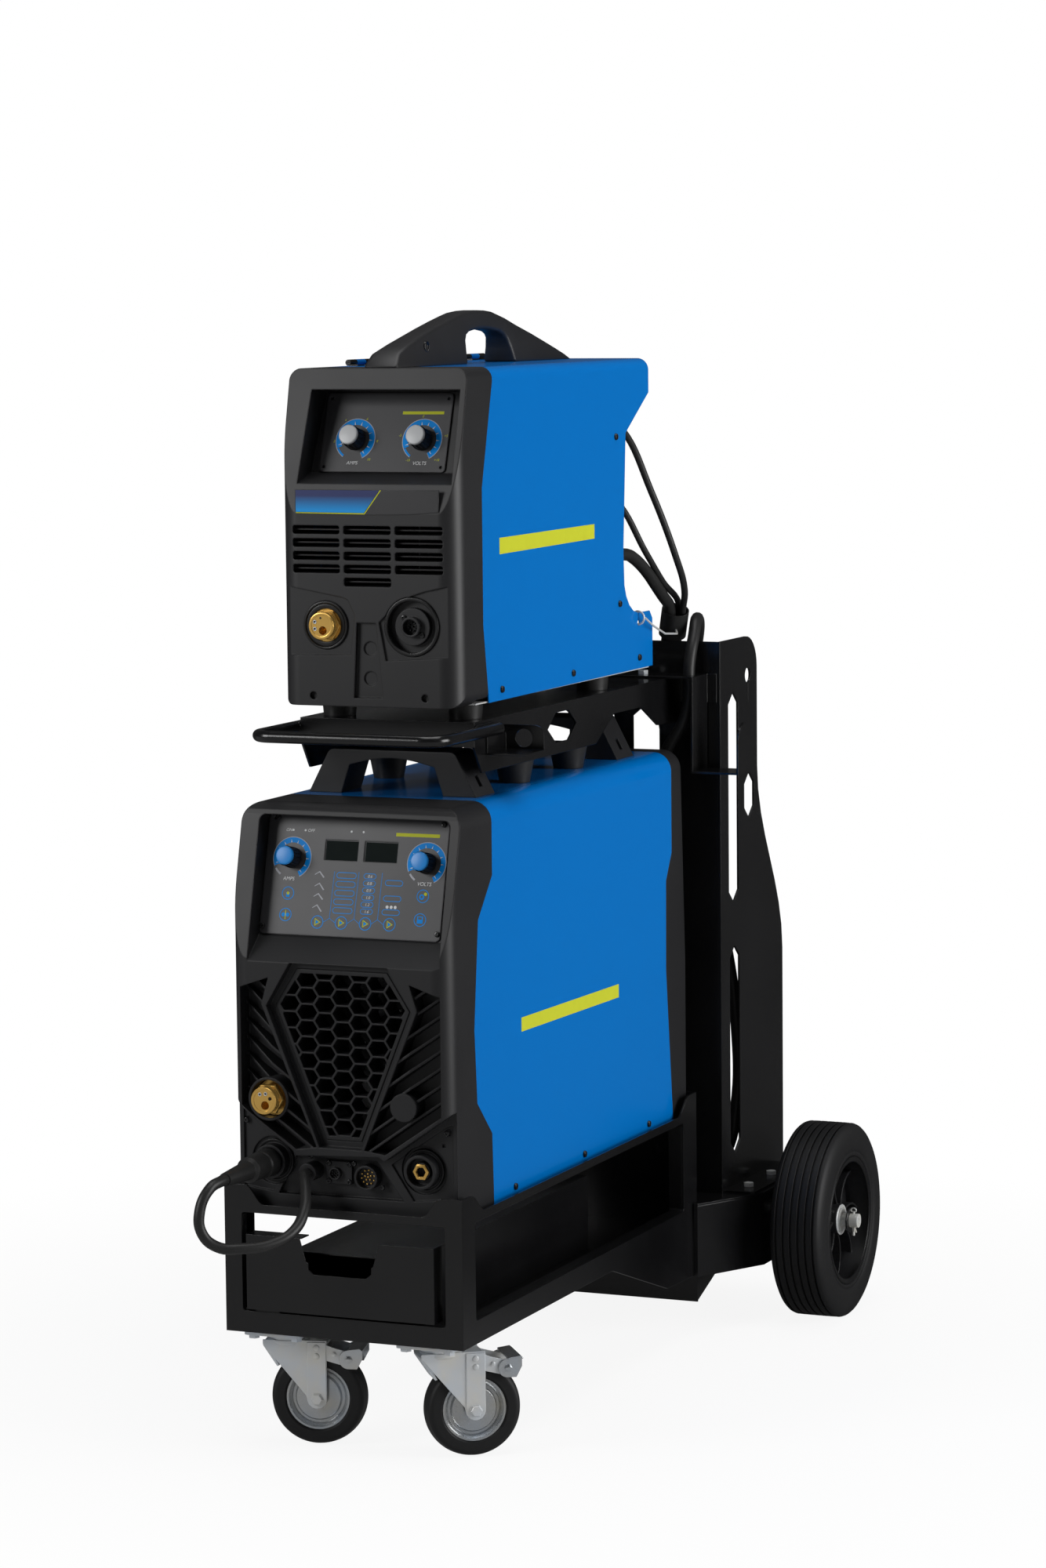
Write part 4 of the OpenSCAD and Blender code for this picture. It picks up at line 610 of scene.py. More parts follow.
# Simple signs on the four round keys: gas bottle, wire, cogs and card
def keySigns(keys):
    bottle, wire, cogs, card = keys
    blue = [barLine((bottle[0], bottle[1] - 5), (bottle[0], bottle[1] + 1), 5),
            circleLine((wire[0] - 3, wire[1]), 2.6, 16),
            circleLine((wire[0] + 3, wire[1]), 2.6, 16),
            circleLine((cogs[0] - 1.5, cogs[1] - 1), 3.6, 16),
            circleLine((cogs[0] - 1.5, cogs[1] - 1), 1.6, 16),
            barLine((card[0], card[1] - 4.5), (card[0], card[1] + 4.5), 8),
            barLine((card[0], card[1] + 0.5), (card[0], card[1] + 3.4), 5)]
    lime = [pillLine(bottle, 4.0, 4.0),
            barLine((wire[0], wire[1] - 6), (wire[0], wire[1] + 6), 1.1),
            circleLine((cogs[0] + 3.4, cogs[1] + 2.8), 2.2, 14)]
    return blue, lime


# Side view of a torch's bent neck
def torchLine(x, up, bend):
    return [(x - 8, up + 0.4), (x - 1.4, up + 4.6), (x + 5.8, up - 3 - bend), (x + 4.2, up - 4 - bend),
            (x - 1.8, up + 2.9), (x - 8, up - 0.6)]


def makePowerPrint(inks):
    p = powerPrint
    blue, pale, white = dialLines(p)
    lime = []
    for group, (w, h) in p["pillSizes"].items():
        for c in p[group]:
            blue += [pillLine(c, w, h), pillLine(c, w - 2 * p["pillLine"], h - 2 * p["pillLine"])]
    for c in p["arrowKeys"] + p["plainKeys"]:
        blue += [circleLine(c, 8.5), circleLine(c, 7.5)]
    for x, up in p["arrowKeys"]:
        lime += [arrowLine(x, up, -3.6, 4.8, 5), arrowLine(x, up, -2.6, 2.9, 3.3)]
        blue.append(arrowLine(x, up, -2.3, 2.3, 2.7))
    blueSigns, limeSigns = keySigns(p["plainKeys"])
    blue += blueSigns
    lime += limeSigns + [p["limeBar"]]
    white += [circleLine(c, 1.4, 16) for c in p["lamps"]] + [circleLine(c, 2.1, 16) for c in p["dots"]]
    pale += [torchLine(x, up, i % 2) for i, (x, up) in enumerate(p["torches"])]
    flatPrint("powerPrintBlue", "power", blue, inks["blue"])
    for k in range(3):
        rules = [barLine(a, b, 0.6) for a, b in p["rules"][k::3]]
        flatPrint(f"powerRules{k + 1}", "power", rules, inks["blue"], 0.01 * k)
    flatPrint("powerPrintWhite", "power", white, inks["white"], 0.12)
    flatPrint("powerPrintPale", "power", pale, inks["pale"])
    flatPrint("powerPrintLime", "power", lime, inks["lime"], 0.02)
    numbers = [(text, x, up - 0.2, 5.2) for text, (x, up) in zip(p["sizes"], p["sizePills"])]
    flatText("powerPrintNumbers", "power", numbers + p["words"], inks["white"])
    for i, c in enumerate(p["displays"]):
        flatPrint(f"powerDisplay{i + 1}", "power", [boxLine(c, *p["display"])], inks["display"], -0.9)
    print("power panel printed")


# Control panel of the wire feeder and the strip below it, in millimetres from their feet
feederPrint = {
    "rings": [(-42.0, 43.3), (51.5, 43.3)],
    "blueBands": [(19.5, 27.0, -62, 206, 36), (24.4, 27.0, 208, 236, 10)],
    "paleBands": [(27.0, 27.9, -63, 237, 36), (19.5, 27.9, -63.5, -62.5, 2)],
    "marks": (19.6, 24.4, 0.8),
    "numbers": [("2", -71.6, 40.8), ("4", -59.4, 68.9), ("6", -29.0, 70.6), ("8", -11.4, 41.1),
                ("10", -20.3, 16.8), ("-5", 19.9, 48.9), ("0", 48.9, 74.2), ("+5", 83.8, 48.6),
                ("-10", 34.7, 16.2), ("+10", 74.7, 16.7)],
    "words": [("AMPS", -43, 12.2, 6.4), ("VOLTS", 51.2, 12.2, 6.4)],
    "limeBar": [(20, 76.9), (77.4, 77.1), (77.4, 81.0), (20, 80.8)],
    "strip": [(-100, 0.4), (-60, -1.6), (0, -2.4), (60, -1.4), (100, 1.6), (101, 30), (-100, 29.4)],
    "stripBlue": [(-99, 0.9), (-3.6, 0.4), (18.6, 29), (-99, 28.6)],
    "stripLime": [(-2.6, -1.4), (-99, -0.6), (-99, 0.4), (-3.0, 0), (19.2, 29.2), (20.8, 29.2)],
}


def makeFeederPrint(inks):
    p = feederPrint
    blue, pale, white = dialLines(p)
    flatPrint("feederPrintBlue", "feeder", blue, inks["blue"])
    flatPrint("feederPrintPale", "feeder", pale, inks["pale"])
    flatPrint("feederPrintWhite", "feeder", white, inks["white"], 0.12)
    flatPrint("feederPrintLime", "feeder", [p["limeBar"]], inks["lime"])
    flatText("feederPrintNumbers", "feeder", [(t, x, up, 4.6) for t, x, up in p["numbers"]], inks["lime"])
    flatText("feederPrintUnits", "feeder", p["words"], inks["white"])
    flatPrint("feederStrip", "strip", [p["strip"]], inks["strip"], 0.02, 0.5)
    flatPrint("feederStripBlue", "strip", [p["stripBlue"]], inks["stripBlue"], 0.53)
    flatPrint("feederStripLime", "strip", [p["stripLime"]], inks["lime"], 0.53)
    print("feeder panel printed")


# Lime stripes on the right sides, in millimetres along and up
sideStripes = {
    "powerSide": [(-334, 524.6), (2.7, 519.6), (2.9, 537.8), (-333.8, 543.0)],
    "feederSide": [(-324.4, 1141.0), (-2.5, 1143.2), (-2.5, 1162.6), (-324.4, 1162.0)],
}


def makeSideStripes(inks):
    for panel, stripe in sideStripes.items():
        flatPrint(panel + "Stripe", panel, [stripe], inks["lime"], 0.0, 0.1)


# Knobs sit in the middle of the printed rings
knobs = {
    "current_knob": {"panel": "power", "at": powerPrint["rings"][0], "body": "knob_current"},
    "voltage_knob": {"panel": "power", "at": powerPrint["rings"][1], "body": "knob_voltage"},
    "speed_knob": {"panel": "feeder", "at": feederPrint["rings"][0], "body": "knob_speed"},
    "trim_knob": {"panel": "feeder", "at": feederPrint["rings"][1], "body": "knob_trim"},
}
# Metres; the outlines are [height over the panel, share of the radius], the pointer's angle in degrees
knobValues = {
    "radius": {"power": 0.0135, "feeder": 0.0145},
    "colour": {"power": "knob_blue", "feeder": "knob_grey"},
    "skirt": [(0.0022, 0), (0.0022, 1), (0.0042, 1), (0.0058, 0.93), (0.021, 0.86), (0.0212, 0.6),
              (0.0212, 0)],
    "cap": [(0.0205, 0), (0.0205, 0.88), (0.0235, 0.88), (0.0245, 0.82), (0.0249, 0.7), (0.0249, 0)],
    "ribs": 16, "rib": (0.0014, 0.0016, 0.015), "ribReach": 0.915, "ribHeight": 0.0125,
    "pointer": -118, "finReach": 0.86, "finHeight": 0.014, "finSize": (0.2, 0.0022, 0.019),
    "ribSoft": 0.0004, "finSoft": 0.0006,
}


# Box on a knob, sized along its side, round it and along its axis
def sideBox(place, side, out, size):
    bpy.ops.mesh.primitive_cube_add(size=1)
    box = bpy.context.object
    turn = Matrix((side, out.cross(side), out)).transposed().to_4x4()
    box.matrix_world = Matrix.Translation(place) @ turn @ Matrix.Diagonal((*size, 1))
    return box


def makeKnob(name, finishes):
    k, v = knobs[name], knobValues
    to = panelMatrix(k["panel"])
    place = to @ Vector((*k["at"], 0))
    out = panelOut(to)
    across = (to.to_3x3() @ Vector((1, 0, 0))).normalized()
    radius = v["radius"][k["panel"]]
    skirt = turned([(h, share * radius) for h, share in v["skirt"]], place, out)
    settle(skirt, name + "Skirt", k["body"], finishes["black_moulding"])
    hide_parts(name)

    ribs = []
    for i in range(v["ribs"]):
        side = Matrix.Rotation(2 * math.pi * i / v["ribs"], 3, out) @ across
        at = place + side * (radius * v["ribReach"]) + out * v["ribHeight"]
        ribs.append(sideBox(at, side, out, v["rib"]))
    rib = joined(ribs, name + "Ribs")
    useModifier(rib, "BEVEL", width=v["ribSoft"], segments=2)
    settle(rib, name + "Ribs", k["body"], finishes["black_moulding"])

    cap = turned([(h, share * radius) for h, share in v["cap"]], place, out)
    pointer = Matrix.Rotation(math.radians(v["pointer"]), 3, out) @ across
    share, width, height = v["finSize"]
    at = place + pointer * (radius * v["finReach"]) + out * v["finHeight"]
    fin = sideBox(at, pointer, out, (radius * share, width, height))
    useModifier(fin, "BEVEL", width=v["finSoft"], segments=2)
    colour = v["colour"][k["panel"]]
    settleJoined([cap, fin], name + "Cap", k["body"], finishes[colour])


# Screws in a panel's millimetres: heads on the sheet sides and smaller ones on the mouldings
screws = {
    "powerSide": {"radius": 0.0046, "places": [(-360, 326.5), (-125, 326.5), (109, 326.5)]},
    "feederSide": {"radius": 0.0046, "places": [(-322, 967), (-82, 968), (157, 970), (76, 1277), (86, 1049)]},
    "power": {"radius": 0.0036, "places": [(-113.5, 150.6), (-121.8, 10.2), (121.8, 10.2), (118, 149)]},
    "powerLow": {"radius": 0.0036, "places": [(-142, 427), (138, 427), (-52, 386), (9, 380), (48, 352)]},
    "powerPlate": {"radius": 0.0036, "places": [(-28, 378), (0.5, 378), (-28, 355), (0.5, 355)]},
    "feederDisc": {"radius": 0.0036, "places": [(48.5, 1067.5), (73.5, 1045.5)]},
}
# Half outline of a cap head with its socket, as shares of the radius
screwOutline = [(0, 1), (0.35, 1), (0.6, 0.86), (0.68, 0.6), (0.68, 0.42), (0.3, 0.38), (0.3, 0)]


def makeScrews(finishes):
    for panel, spec in screws.items():
        to = panelMatrix(panel)
        outline = [(d * spec["radius"], r * spec["radius"]) for d, r in screwOutline]
        heads = [turned(outline, to @ Vector((*p, 0)), panelOut(to), 20) for p in spec["places"]]
        settleJoined(heads, panel + "Screws", "cart", finishes["darkScrew"])
    print("screws done")


# Turned ring in millimetres at a place in the row frame, its axis towards the front
def frontRing(profile, place, steps=48):
    return turnedFine(profile, place, (0, -1, 0), steps)


# Brass gas sockets for a torch plug; pins are across and up from the middle, hollow ones first
torchSockets = {
    "powerTorch": {"at": (-100, -578, 460), "hollow": [(-5, 8), (3, 9)], "solid": [(9, 3)]},
    "feederTorch": {"at": (-60, -472, 1056), "hollow": [(-9, 5), (-9, -4)], "solid": [(-1, 10)]},
}
torchOutlines = {
    "face": [(-0.4, 13.2), (0.5, 13.6), (0.8, 15.2), (0.5, 16.8), (-0.6, 17.6), (-5, 17.6), (-5.6, 16.6),
             (-7, 16.6), (-7.6, 17.6), (-11, 17.6)],
    "nut": [(-18, 20.6), (-12.6, 20.6), (-11.6, 19.6), (-11.6, 17)],
    "core": [(-1, 0), (-1, 1.3), (0.35, 1.3), (0.35, 0)],
    "pinRing": [(-1, 2.5), (0.3, 2.5), (0.6, 2.1), (0.5, 1.4), (-1, 1.4)],
}


def makeTorchSocket(name, finishes):
    spec, outlines = torchSockets[name], torchOutlines
    x, y, z = spec["at"]
    face = frontRing(outlines["face"], spec["at"])
    nut = frontRing(outlines["nut"], spec["at"], 6)
    settleJoined([face, nut], name + "Rim", "cart", finishes["brass"])
    cores = [frontRing(outlines["core"], (x + across, y, z + up), 16)
             for across, up in spec["hollow"] + spec["solid"]]
    settleJoined(cores, name + "Pins", "cart", finishes["darkScrew"])
    rings = [frontRing(outlines["pinRing"], (x + across, y, z + up), 20) for across, up in spec["hollow"]]
    settleJoined(rings, name + "PinRings", "cart", finishes["pinSteel"])


# Black rims of the pockets: radii and how far they stand out
pocketRings = {
    "feederLeftRing": {"at": (-60, -448, 1056), "inner": 27.5, "outer": 30.8, "depth": 12},
    "feederRightRing": {"at": (60, -448, 1056), "inner": 33, "outer": 37.6, "depth": 12},
    "feederSeat": {"at": (-60, -457.6, 1056), "inner": 21, "outer": 27.4, "depth": 1.4},
    "powerEarthRing": {"at": (105, -536, 377), "inner": 24, "outer": 27.5, "depth": 5},
    "powerLeadRing": {"at": (-105, -536, 377), "inner": 24, "outer": 27.5, "depth": 5},
}


def makePocketRing(name, finishes):
    spec = pocketRings[name]
    inner, outer, depth = spec["inner"], spec["outer"], spec["depth"]
    outline = [(0, inner), (depth - 1.2, inner), (depth - 0.3, inner + 0.4), (depth, (inner + outer) / 2),
               (depth - 0.3, outer - 0.4), (depth - 1.2, outer), (0, outer)]
    settle(frontRing(outline, spec["at"], 64), name, "cart", finishes["socketBlack"])


# Contact pins of the round plugs' sockets: each circle is a count and its radius
pinGroups = {
    "remotePins": {"at": (60, -452, 1056), "circles": [(1, 0), (8, 5.2)], "radius": 1.1, "depth": 5,
                   "finish": "black_moulding"},
    "lowerPins": {"at": (28, -540, 364), "circles": [(1, 0), (5, 4.2), (10, 9)], "radius": 1.1, "depth": 3,
                  "finish": "brass"},
    "smallPins": {"at": (-18, -541, 365.5), "circles": [(1, 0), (6, 3.6)], "radius": 0.8, "depth": 3,
                  "finish": "black_moulding"},
}


def makePins(name, finishes):
    spec = pinGroups[name]
    x, y, z = spec["at"]
    r, depth = spec["radius"], spec["depth"]
    outline = [(0, 0), (0, r), (depth - 0.3, r), (depth, r * 0.6), (depth, 0)]
    pins = []
    for count, reach in spec["circles"]:
        for i in range(count):
            a = 2 * math.pi * (i + 0.3) / count
            pins.append(frontRing(outline, (x + reach * math.cos(a), y, z + reach * math.sin(a)), 10))
    settleJoined(pins, name, "cart", finishes[spec["finish"]])


earthSocket = {
    "at": (105, -548, 377),
    "insert": [(0, 6.6), (2.4, 6.6), (3.2, 7.4), (3.2, 9.2), (2.6, 11), (0, 11.2)],
}


def makeSockets(finishes):
    for name in torchSockets:
        makeTorchSocket(name, finishes)
    for name in pocketRings:
        makePocketRing(name, finishes)
    for name in pinGroups:
        makePins(name, finishes)
    insert = frontRing(earthSocket["insert"], earthSocket["at"], 6)
    settle(insert, "earthInsert", "cart", finishes["brass"])
    print("sockets done")


# Castors in millimetres, with X along the fork from the swivel axis and Z up; turn is in degrees
castorSides = {"left": {"swivel": (-107, -501), "turn": 15}, "right": {"swivel": (107, -501), "turn": 37}}
castorValues = {
    "head": 139.0, "axle": (40.0, 62.5), "pivot": (82.0, 115.5),
    "back": -30, "front": 53,
    "legIn": 21.0, "legThick": 2.5, "stripThick": 1.3, "armThick": 2.0, "armGap": 0.3,
    "rivets": [((40, 130), 3.8), ((40, 119), 3.8), ((63, 122), 2.6)],
    "axleNut": [(0, 8.6), (0.8, 8.6), (0.8, 7.4), (3.6, 7.4), (4.2, 6.8), (4.2, 0)],
    "axleRadius": 4,
    "crown": [(-9, 6), (-9, 21), (-7, 25), (-5, 27), (-1, 27), (0, 26), (0, 6)],
    "pedalIn": 24.3, "pedalThick": 1.6,
    "pivotNut": [(-2, 5.2), (1.2, 5.2), (1.2, 4.2), (2.6, 4.2), (3.0, 3.4), (3.0, 0)],
    "pivotRadius": 3,
    "tread": [(81.5, 127), (97, 129.2), (100.2, 127.2), (101, 128.6), (97.6, 131.4), (81.5, 129.4)],
    "treadWidth": 62,
}


def castorMatrix(side):
    x, y = castorSides[side]["swivel"]
    turn = Matrix.Rotation(math.radians(castorSides[side]["turn"]), 4, "Z")
    return Matrix.Translation((x / 1000, y / 1000, 0)) @ turn @ Matrix.Scale(0.001, 4)


# Flat plate cut to an outline in X and Z, its inner face at a distance across, with softened edges
def cutPlate(outline, across, thick, to, soft=0.5):
    obj = drawnPlate([(x, across, z) for x, z in outline], (0, thick, 0))
    useModifier(obj, "BEVEL", width=soft, segments=2, limit_method="ANGLE")
    obj.matrix_world = to
    return obj


# Rivet, bolt head or boss standing across the plates at a point in X and Z
def crossBoss(profile, point, across, side, to, steps=24):
    boss = turned(profile, (point[0], across, point[1]), (0, side, 0), steps)
    boss.matrix_world = to @ boss.matrix_world
    return boss


def makeCastorFork(side, finishes):
    to, v = castorMatrix(side), castorValues
    head, axle, back, front = v["head"], v["axle"], v["back"], v["front"]
    leg = ([(back, head), (back, head - 6), (26, axle[1] + 4)] + arcLine(axle, 13, 190, 350)
           + [(front, axle[1] + 6), (front, head)])
    arm = [(52, 113), (72, 107.6)] + arcLine(v["pivot"], 9, -130, 80) + [(60, 131), (52, 134)]
    strip = [(27.5, head - 2)] + arcLine(axle, 12.5, 180, 360) + [(52.5, head - 2)]
    parts = []
    for s in (-1, 1):
        inner = s * v["legIn"]
        parts.append(cutPlate(leg, inner, s * v["legThick"], to))
        parts.append(cutPlate(arm, inner + s * v["armGap"], s * v["armThick"], to))
        parts.append(cutPlate(strip, inner + s * v["legThick"], s * v["stripThick"], to, 0.6))
        face = inner + s * (v["legThick"] + v["stripThick"])
        for point, r in v["rivets"]:
            parts.append(crossBoss([(-1.4, r), (0.7, r), (1.2, r * 0.7), (1.3, 0)], point, face, s, to))
        parts.append(crossBoss(v["axleNut"], axle, face, s, to, 6))
    parts.append(crossBoss([(-24, v["axleRadius"]), (24, v["axleRadius"])], axle, 0, 1, to, 16))
    crown = turned([(head + d, r) for d, r in v["crown"]], (0, 0, 0), (0, 0, 1))
    crown.matrix_world = to @ crown.matrix_world
    web = [(back, head - 3), (back, head - 8), (-12, 104), (-9, 105), (-24, head - 7)]
    top = [(back, head - 3), (back, head - 6.5), (front, head - 6.5), (front, head - 3)]
    parts += [crown, cutPlate(web, -21.5, 43, to), cutPlate(top, -23, 46, to)]
    fork = settleJoined(parts, "castorFork" + side.capitalize(), "castor_" + side, finishes["zinc"])
    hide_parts("castor_fork_" + side)


def makeCastorPedal(side, finishes):
    to, v = castorMatrix(side), castorValues
    cheek = arcLine(v["pivot"], 12.5, 100, 262) + [(93, 103), (100.4, 117), (100.4, 129)]
    parts = [cutPlate(cheek, s * v["pedalIn"], s * v["pedalThick"], to, 0.4) for s in (-1, 1)]
    parts.append(cutPlate(v["tread"], -v["treadWidth"] / 2, v["treadWidth"], to, 0.4))
    face = v["pedalIn"] + v["pedalThick"]
    for s in (-1, 1):
        parts.append(crossBoss(v["pivotNut"], v["pivot"], s * face, s, to, 6))
    pin = [(-24.5, v["pivotRadius"]), (24.5, v["pivotRadius"])]
    parts.append(crossBoss(pin, v["pivot"], 0, 1, to, 16))
    name = "castorPedal" + side.capitalize()
    pedal = settleJoined(parts, name, "castor_pedal_" + side, finishes["chrome"])
    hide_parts("castor_brake_" + side)


# Half of a pressed rim in millimetres from its middle: hub, dished flange, groove and rolled lip
rimHalf = [(19, 4.3), (19, 10), (13.4, 11), (12.6, 28.5), (9.5, 30.5), (9.0, 34), (13.5, 36.2), (16, 38.6),
           (15.6, 41.4)]


def makeCastorRim(side, finishes):
    outer = [(-d, r) for d, r in rimHalf]
    profile = outer + [(d, r) for d, r in reversed(rimHalf)] + [outer[0]]
    rim = crossBoss(profile, castorValues["axle"], 0, 1, castorMatrix(side), 64)
    name = "castorRim" + side.capitalize()
    settle(rim, name, "castor_wheel_" + side, finishes["aluminium_rim"])
    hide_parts("castor_rim_" + side)


# Bent wire through points in millimetres
def wireLoop(points, diameter):
    wire = curveObject("wire", dimensions="3D", bevel_depth=diameter / 2000, bevel_resolution=3,
                       resolution_u=6, use_fill_caps=True)
    bezierThrough(wire.data, [tuple(v / 1000 for v in p) for p in points])
    return madeMesh(wire)


# Rear wheel hubs in millimetres; outlines start at the named distances across
hubValues = {
    "axis": (438.0, 140.0), "face": 319.0, "axleEnd": 346.0, "lipFace": 332.0, "pinIn": 8.0,
    "bearing": [(-1, 22), (0.6, 22), (1.2, 21.4), (1.2, 18), (0.2, 17.4), (0.2, 13), (1.0, 12.6),
                (1.0, 10.6)],
    "cap": [(-16, 10.1), (-2.0, 10.1), (-0.2, 8.8), (-0.1, 3.4), (-1.2, 3.0), (-1.2, 0)],
    "washer": [(-14.5, 10.1), (-14.5, 17.4), (-14, 18), (-12.6, 18), (-12.1, 17.4), (-12.1, 10.1)],
    "lip": [(0, 83.5), (0, 91.8), (-1.2, 92.6), (1.2, 91.6), (1.9, 89.5), (1.0, 87.6), (1.0, 85.6),
            (0, 83.5)],
    "splitPin": [(0, 0, -21), (1.5, -1.5, -12), (0, 0, 0), (0, 0, 11), (-4, 0, 15), (0, 0, 18), (4, 0, 15),
                 (0.8, 0, 11), (0.8, 0, -6), (3, 3, -18)],
    "splitPinWire": 2.0,
}


def makeHub(side, s, finishes):
    v = hubValues
    y, z = v["axis"]
    out = (s, 0, 0)
    name = side.capitalize()
    ring = turnedFine(v["bearing"], (s * v["face"], y, z), out)
    settle(ring, "hubBearing" + name, "rear_wheel_" + side, finishes["zinc"])
    end = (s * v["axleEnd"], y, z)
    cap = turnedFine(v["cap"], end, out)
    middle = s * (v["axleEnd"] - v["pinIn"])
    pin = wireLoop([(middle + s * a, y + b, z + c) for a, b, c in v["splitPin"]], v["splitPinWire"])
    settleJoined([cap, pin], "axleEnd" + name, "cart", finishes["zinc"])
    settle(turnedFine(v["washer"], end, out), "hubWasher" + name, "cart", finishes["darkScrew"])
    lip = turnedFine(v["lip"], (s * v["lipFace"], y, z), out, 96)
    settle(lip, "rimLip" + name, "rear_wheel_" + side, finishes["socketBlack"])


# Solid rubber tyre in millimetres from its inner face; a groove is its half widths and its depth
tyreValues = {
    "inner": 256.0, "width": 80.0, "radius": 140.0, "crown": 1.0, "shoulder": 7.0,
    "wall": [(4, 92), (2.4, 93.2), (1.5, 96), (2.3, 99), (0.8, 101.5), (0.1, 106), (0, 118), (0.7, 126),
             (2.4, 132), (5.0, 136.4), (7.4, 138.5)],
    "grooves": 6, "groove": (1.3, 0.8, 3.2), "grooveEdge": (0.7, 0.5),
}


def tyreProfile():
    v = tyreValues
    middle = v["width"] / 2
    pitch = (v["width"] - 2 * v["shoulder"]) / v["grooves"]
    top, foot, deep = v["groove"]
    along, down = v["grooveEdge"]
    line = list(v["wall"])
    for i in range(v["grooves"]):
        d = v["shoulder"] + pitch * (i + 0.5)
        r = v["radius"] - v["crown"] * ((d - middle) / middle) ** 4 - 0.25
        line += [(d - top - along, r), (d - top, r - down), (d - foot, r - deep),
                 (d + foot, r - deep), (d + top, r - down), (d + top + along, r)]
    return line + [(v["width"] - d, r) for d, r in reversed(v["wall"])] + [v["wall"][0]]


def makeTyre(side, s, finishes):
    y, z = hubValues["axis"]
    tyre = turnedFine(tyreProfile(), (s * tyreValues["inner"], y, z), (s, 0, 0), 96, 28)
    settle(tyre, "rearTyre" + side.capitalize(), "rear_wheel_" + side, finishes["tyre"])
    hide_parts("rear_tyre_" + side)


# Honeycomb of the grille in millimetres: its cells, and half outlines of its field and of its opening; behind
# it a dark sheet, its outline, place and thickness, that paints the shade inside the case
grilleValues = {
    "column": 24.6, "row": 20.8, "wall": 2.4, "foot": 92, "columns": 4, "rows": 12, "deep": 22,
    "field": [(24.2, 96.6), (92.9, 266), (62.7, 313.4)],
    "opening": [(21, 102), (87.5, 266), (59.5, 308)],
    "shadeSheet": [(-138, 350), (138, 350), (138, 690), (-138, 690)], "shadeSheetAt": -442, "shadeSheetThick": 1.5,
}


def mirroredLine(line):
    return line + [(-x, z) for x, z in reversed(line)]


# Part of an outline on the left of a line from a to b
def clipped(line, a, b):
    def side(p):
        return (b[0] - a[0]) * (p[1] - a[1]) - (b[1] - a[1]) * (p[0] - a[0])
    kept = []
    for p, q in zip(line, line[1:] + line[:1]):
        u, w = side(p), side(q)
        if u >= 0:
            kept.append(p)
        if u * w < 0:
            t = u / (u - w)
            kept.append((p[0] + (q[0] - p[0]) * t, p[1] + (q[1] - p[1]) * t))
    return kept


# The cells as holes in the field, cut off at the opening
def combOutlines():
    v = grilleValues
    border = mirroredLine(v["opening"])
    flat, half = v["column"] * 0.36, v["row"] / 2
    tip = v["column"] - flat
    share = 1 - v["wall"] / v["row"]
    cell = [(-tip, 0), (-flat, -half), (flat, -half), (tip, 0), (flat, half), (-flat, half)]
    outlines = [mirroredLine(v["field"])]
    for i in range(-v["columns"], v["columns"] + 1):
        for j in range(v["rows"]):
            x, z = i * v["column"], (j + (i % 2) / 2) * v["row"] + v["foot"]
            line = [(x + across * share, z + up * share) for across, up in cell]
            for a, b in zip(border, border[1:] + border[:1]):
                line = clipped(line, a, b)
            if len(line) > 2:
                outlines.append(line)
    return outlines


def makeGrille(finishes):
    v = grilleValues
    flatPrint("grilleComb", "grille", combOutlines(), finishes["black_moulding"], -v["deep"], v["deep"])
    # Dark sheet behind the grille: painted shade that stands in for the dark inside of the case
    shadeSheet = cutPlate(v["shadeSheet"], v["shadeSheetAt"], v["shadeSheetThick"], Matrix.Scale(0.001, 4))
    settle(shadeSheet, "powerShadeSheet", "cart", finishes["darkScrew"])
    print("grille done")


# Feeder handle in millimetres: its side view from the feeder's front and top, and half widths by height
handleValues = {
    "front": -460, "top": 1381,
    "line": [(44, 0), (65, 19), (100, 29), (138, 38.5), (180, 48), (221, 56.5), (255, 63), (281, 67.4),
             (306, 69.4), (332, 70), (355, 69.4), (375, 67.8), (419, 59), (460, 48.5), (508, 37), (545, 26.5),
             (581, 16), (610, 7), (628, 0)],
    "grip": [(273, 0), (275, 14), (279, 28), (287, 37), (300, 42), (322, 44.6), (345, 45), (370, 43.8),
             (395, 41), (410, 36.5), (418, 31), (424, 18), (428, 0)],
    "half": [(0, 24), (14, 21), (40, 15), (95, 14)],
    "soft": 5.0,
    "well": [(-4, 7.4), (1.2, 7.4), (1.6, 6.6), (0.8, 6.0), (-0.5, 5.4), (-0.5, 0)],
    "wellAt": (18.6, -311, 1406),
}


def stepped(table, at):
    for (a, u), (b, w) in zip(table, table[1:]):
        if at <= b:
            return u + (w - u) * max(0.0, at - a) / (b - a)
    return table[-1][1]


def makeHandle(finishes):
    v = handleValues
    obj = drawnPlate([(-1, v["front"] + y, v["top"] + z) for y, z in v["line"] + v["grip"][::-1]], (2, 0, 0))
    bpy.ops.object.mode_set(mode="EDIT")
    bpy.ops.mesh.select_all(action="SELECT")
    bpy.ops.mesh.quads_convert_to_tris()
    bpy.ops.object.mode_set(mode="OBJECT")
    for vertex in obj.data.vertices:
        vertex.co.x *= stepped(v["half"], vertex.co.z - v["top"])
    useModifier(obj, "BEVEL", width=v["soft"], segments=4, limit_method="ANGLE",
                angle_limit=math.radians(50))
    obj.matrix_world = Matrix.Scale(0.001, 4)
    settle(obj, "feederHandle", "cart", finishes["black_moulding"])
    pick(obj)
    bpy.ops.object.shade_smooth_by_angle(angle=math.radians(35))
    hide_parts("feeder_handle")
    x, y, z = v["wellAt"]
    wells = [turnedFine(v["well"], (s * x, y, z), (s, 0, 0), 32) for s in (-1, 1)]
    settleJoined(wells, "handleScrewWells", "cart", finishes["darkScrew"])
    print("feeder handle done")


# Welds of the push handle in millimetres, on both sides: two ends and a width
welds = [
    ((123.6, -406, 926.4), (123.6, -351, 926.4), 4.6),
    ((123.6, -406, 911.6), (123.6, -351, 911.6), 4.2),
    ((124.2, -407.6, 912), (124.2, -407.6, 926), 4.4),
]


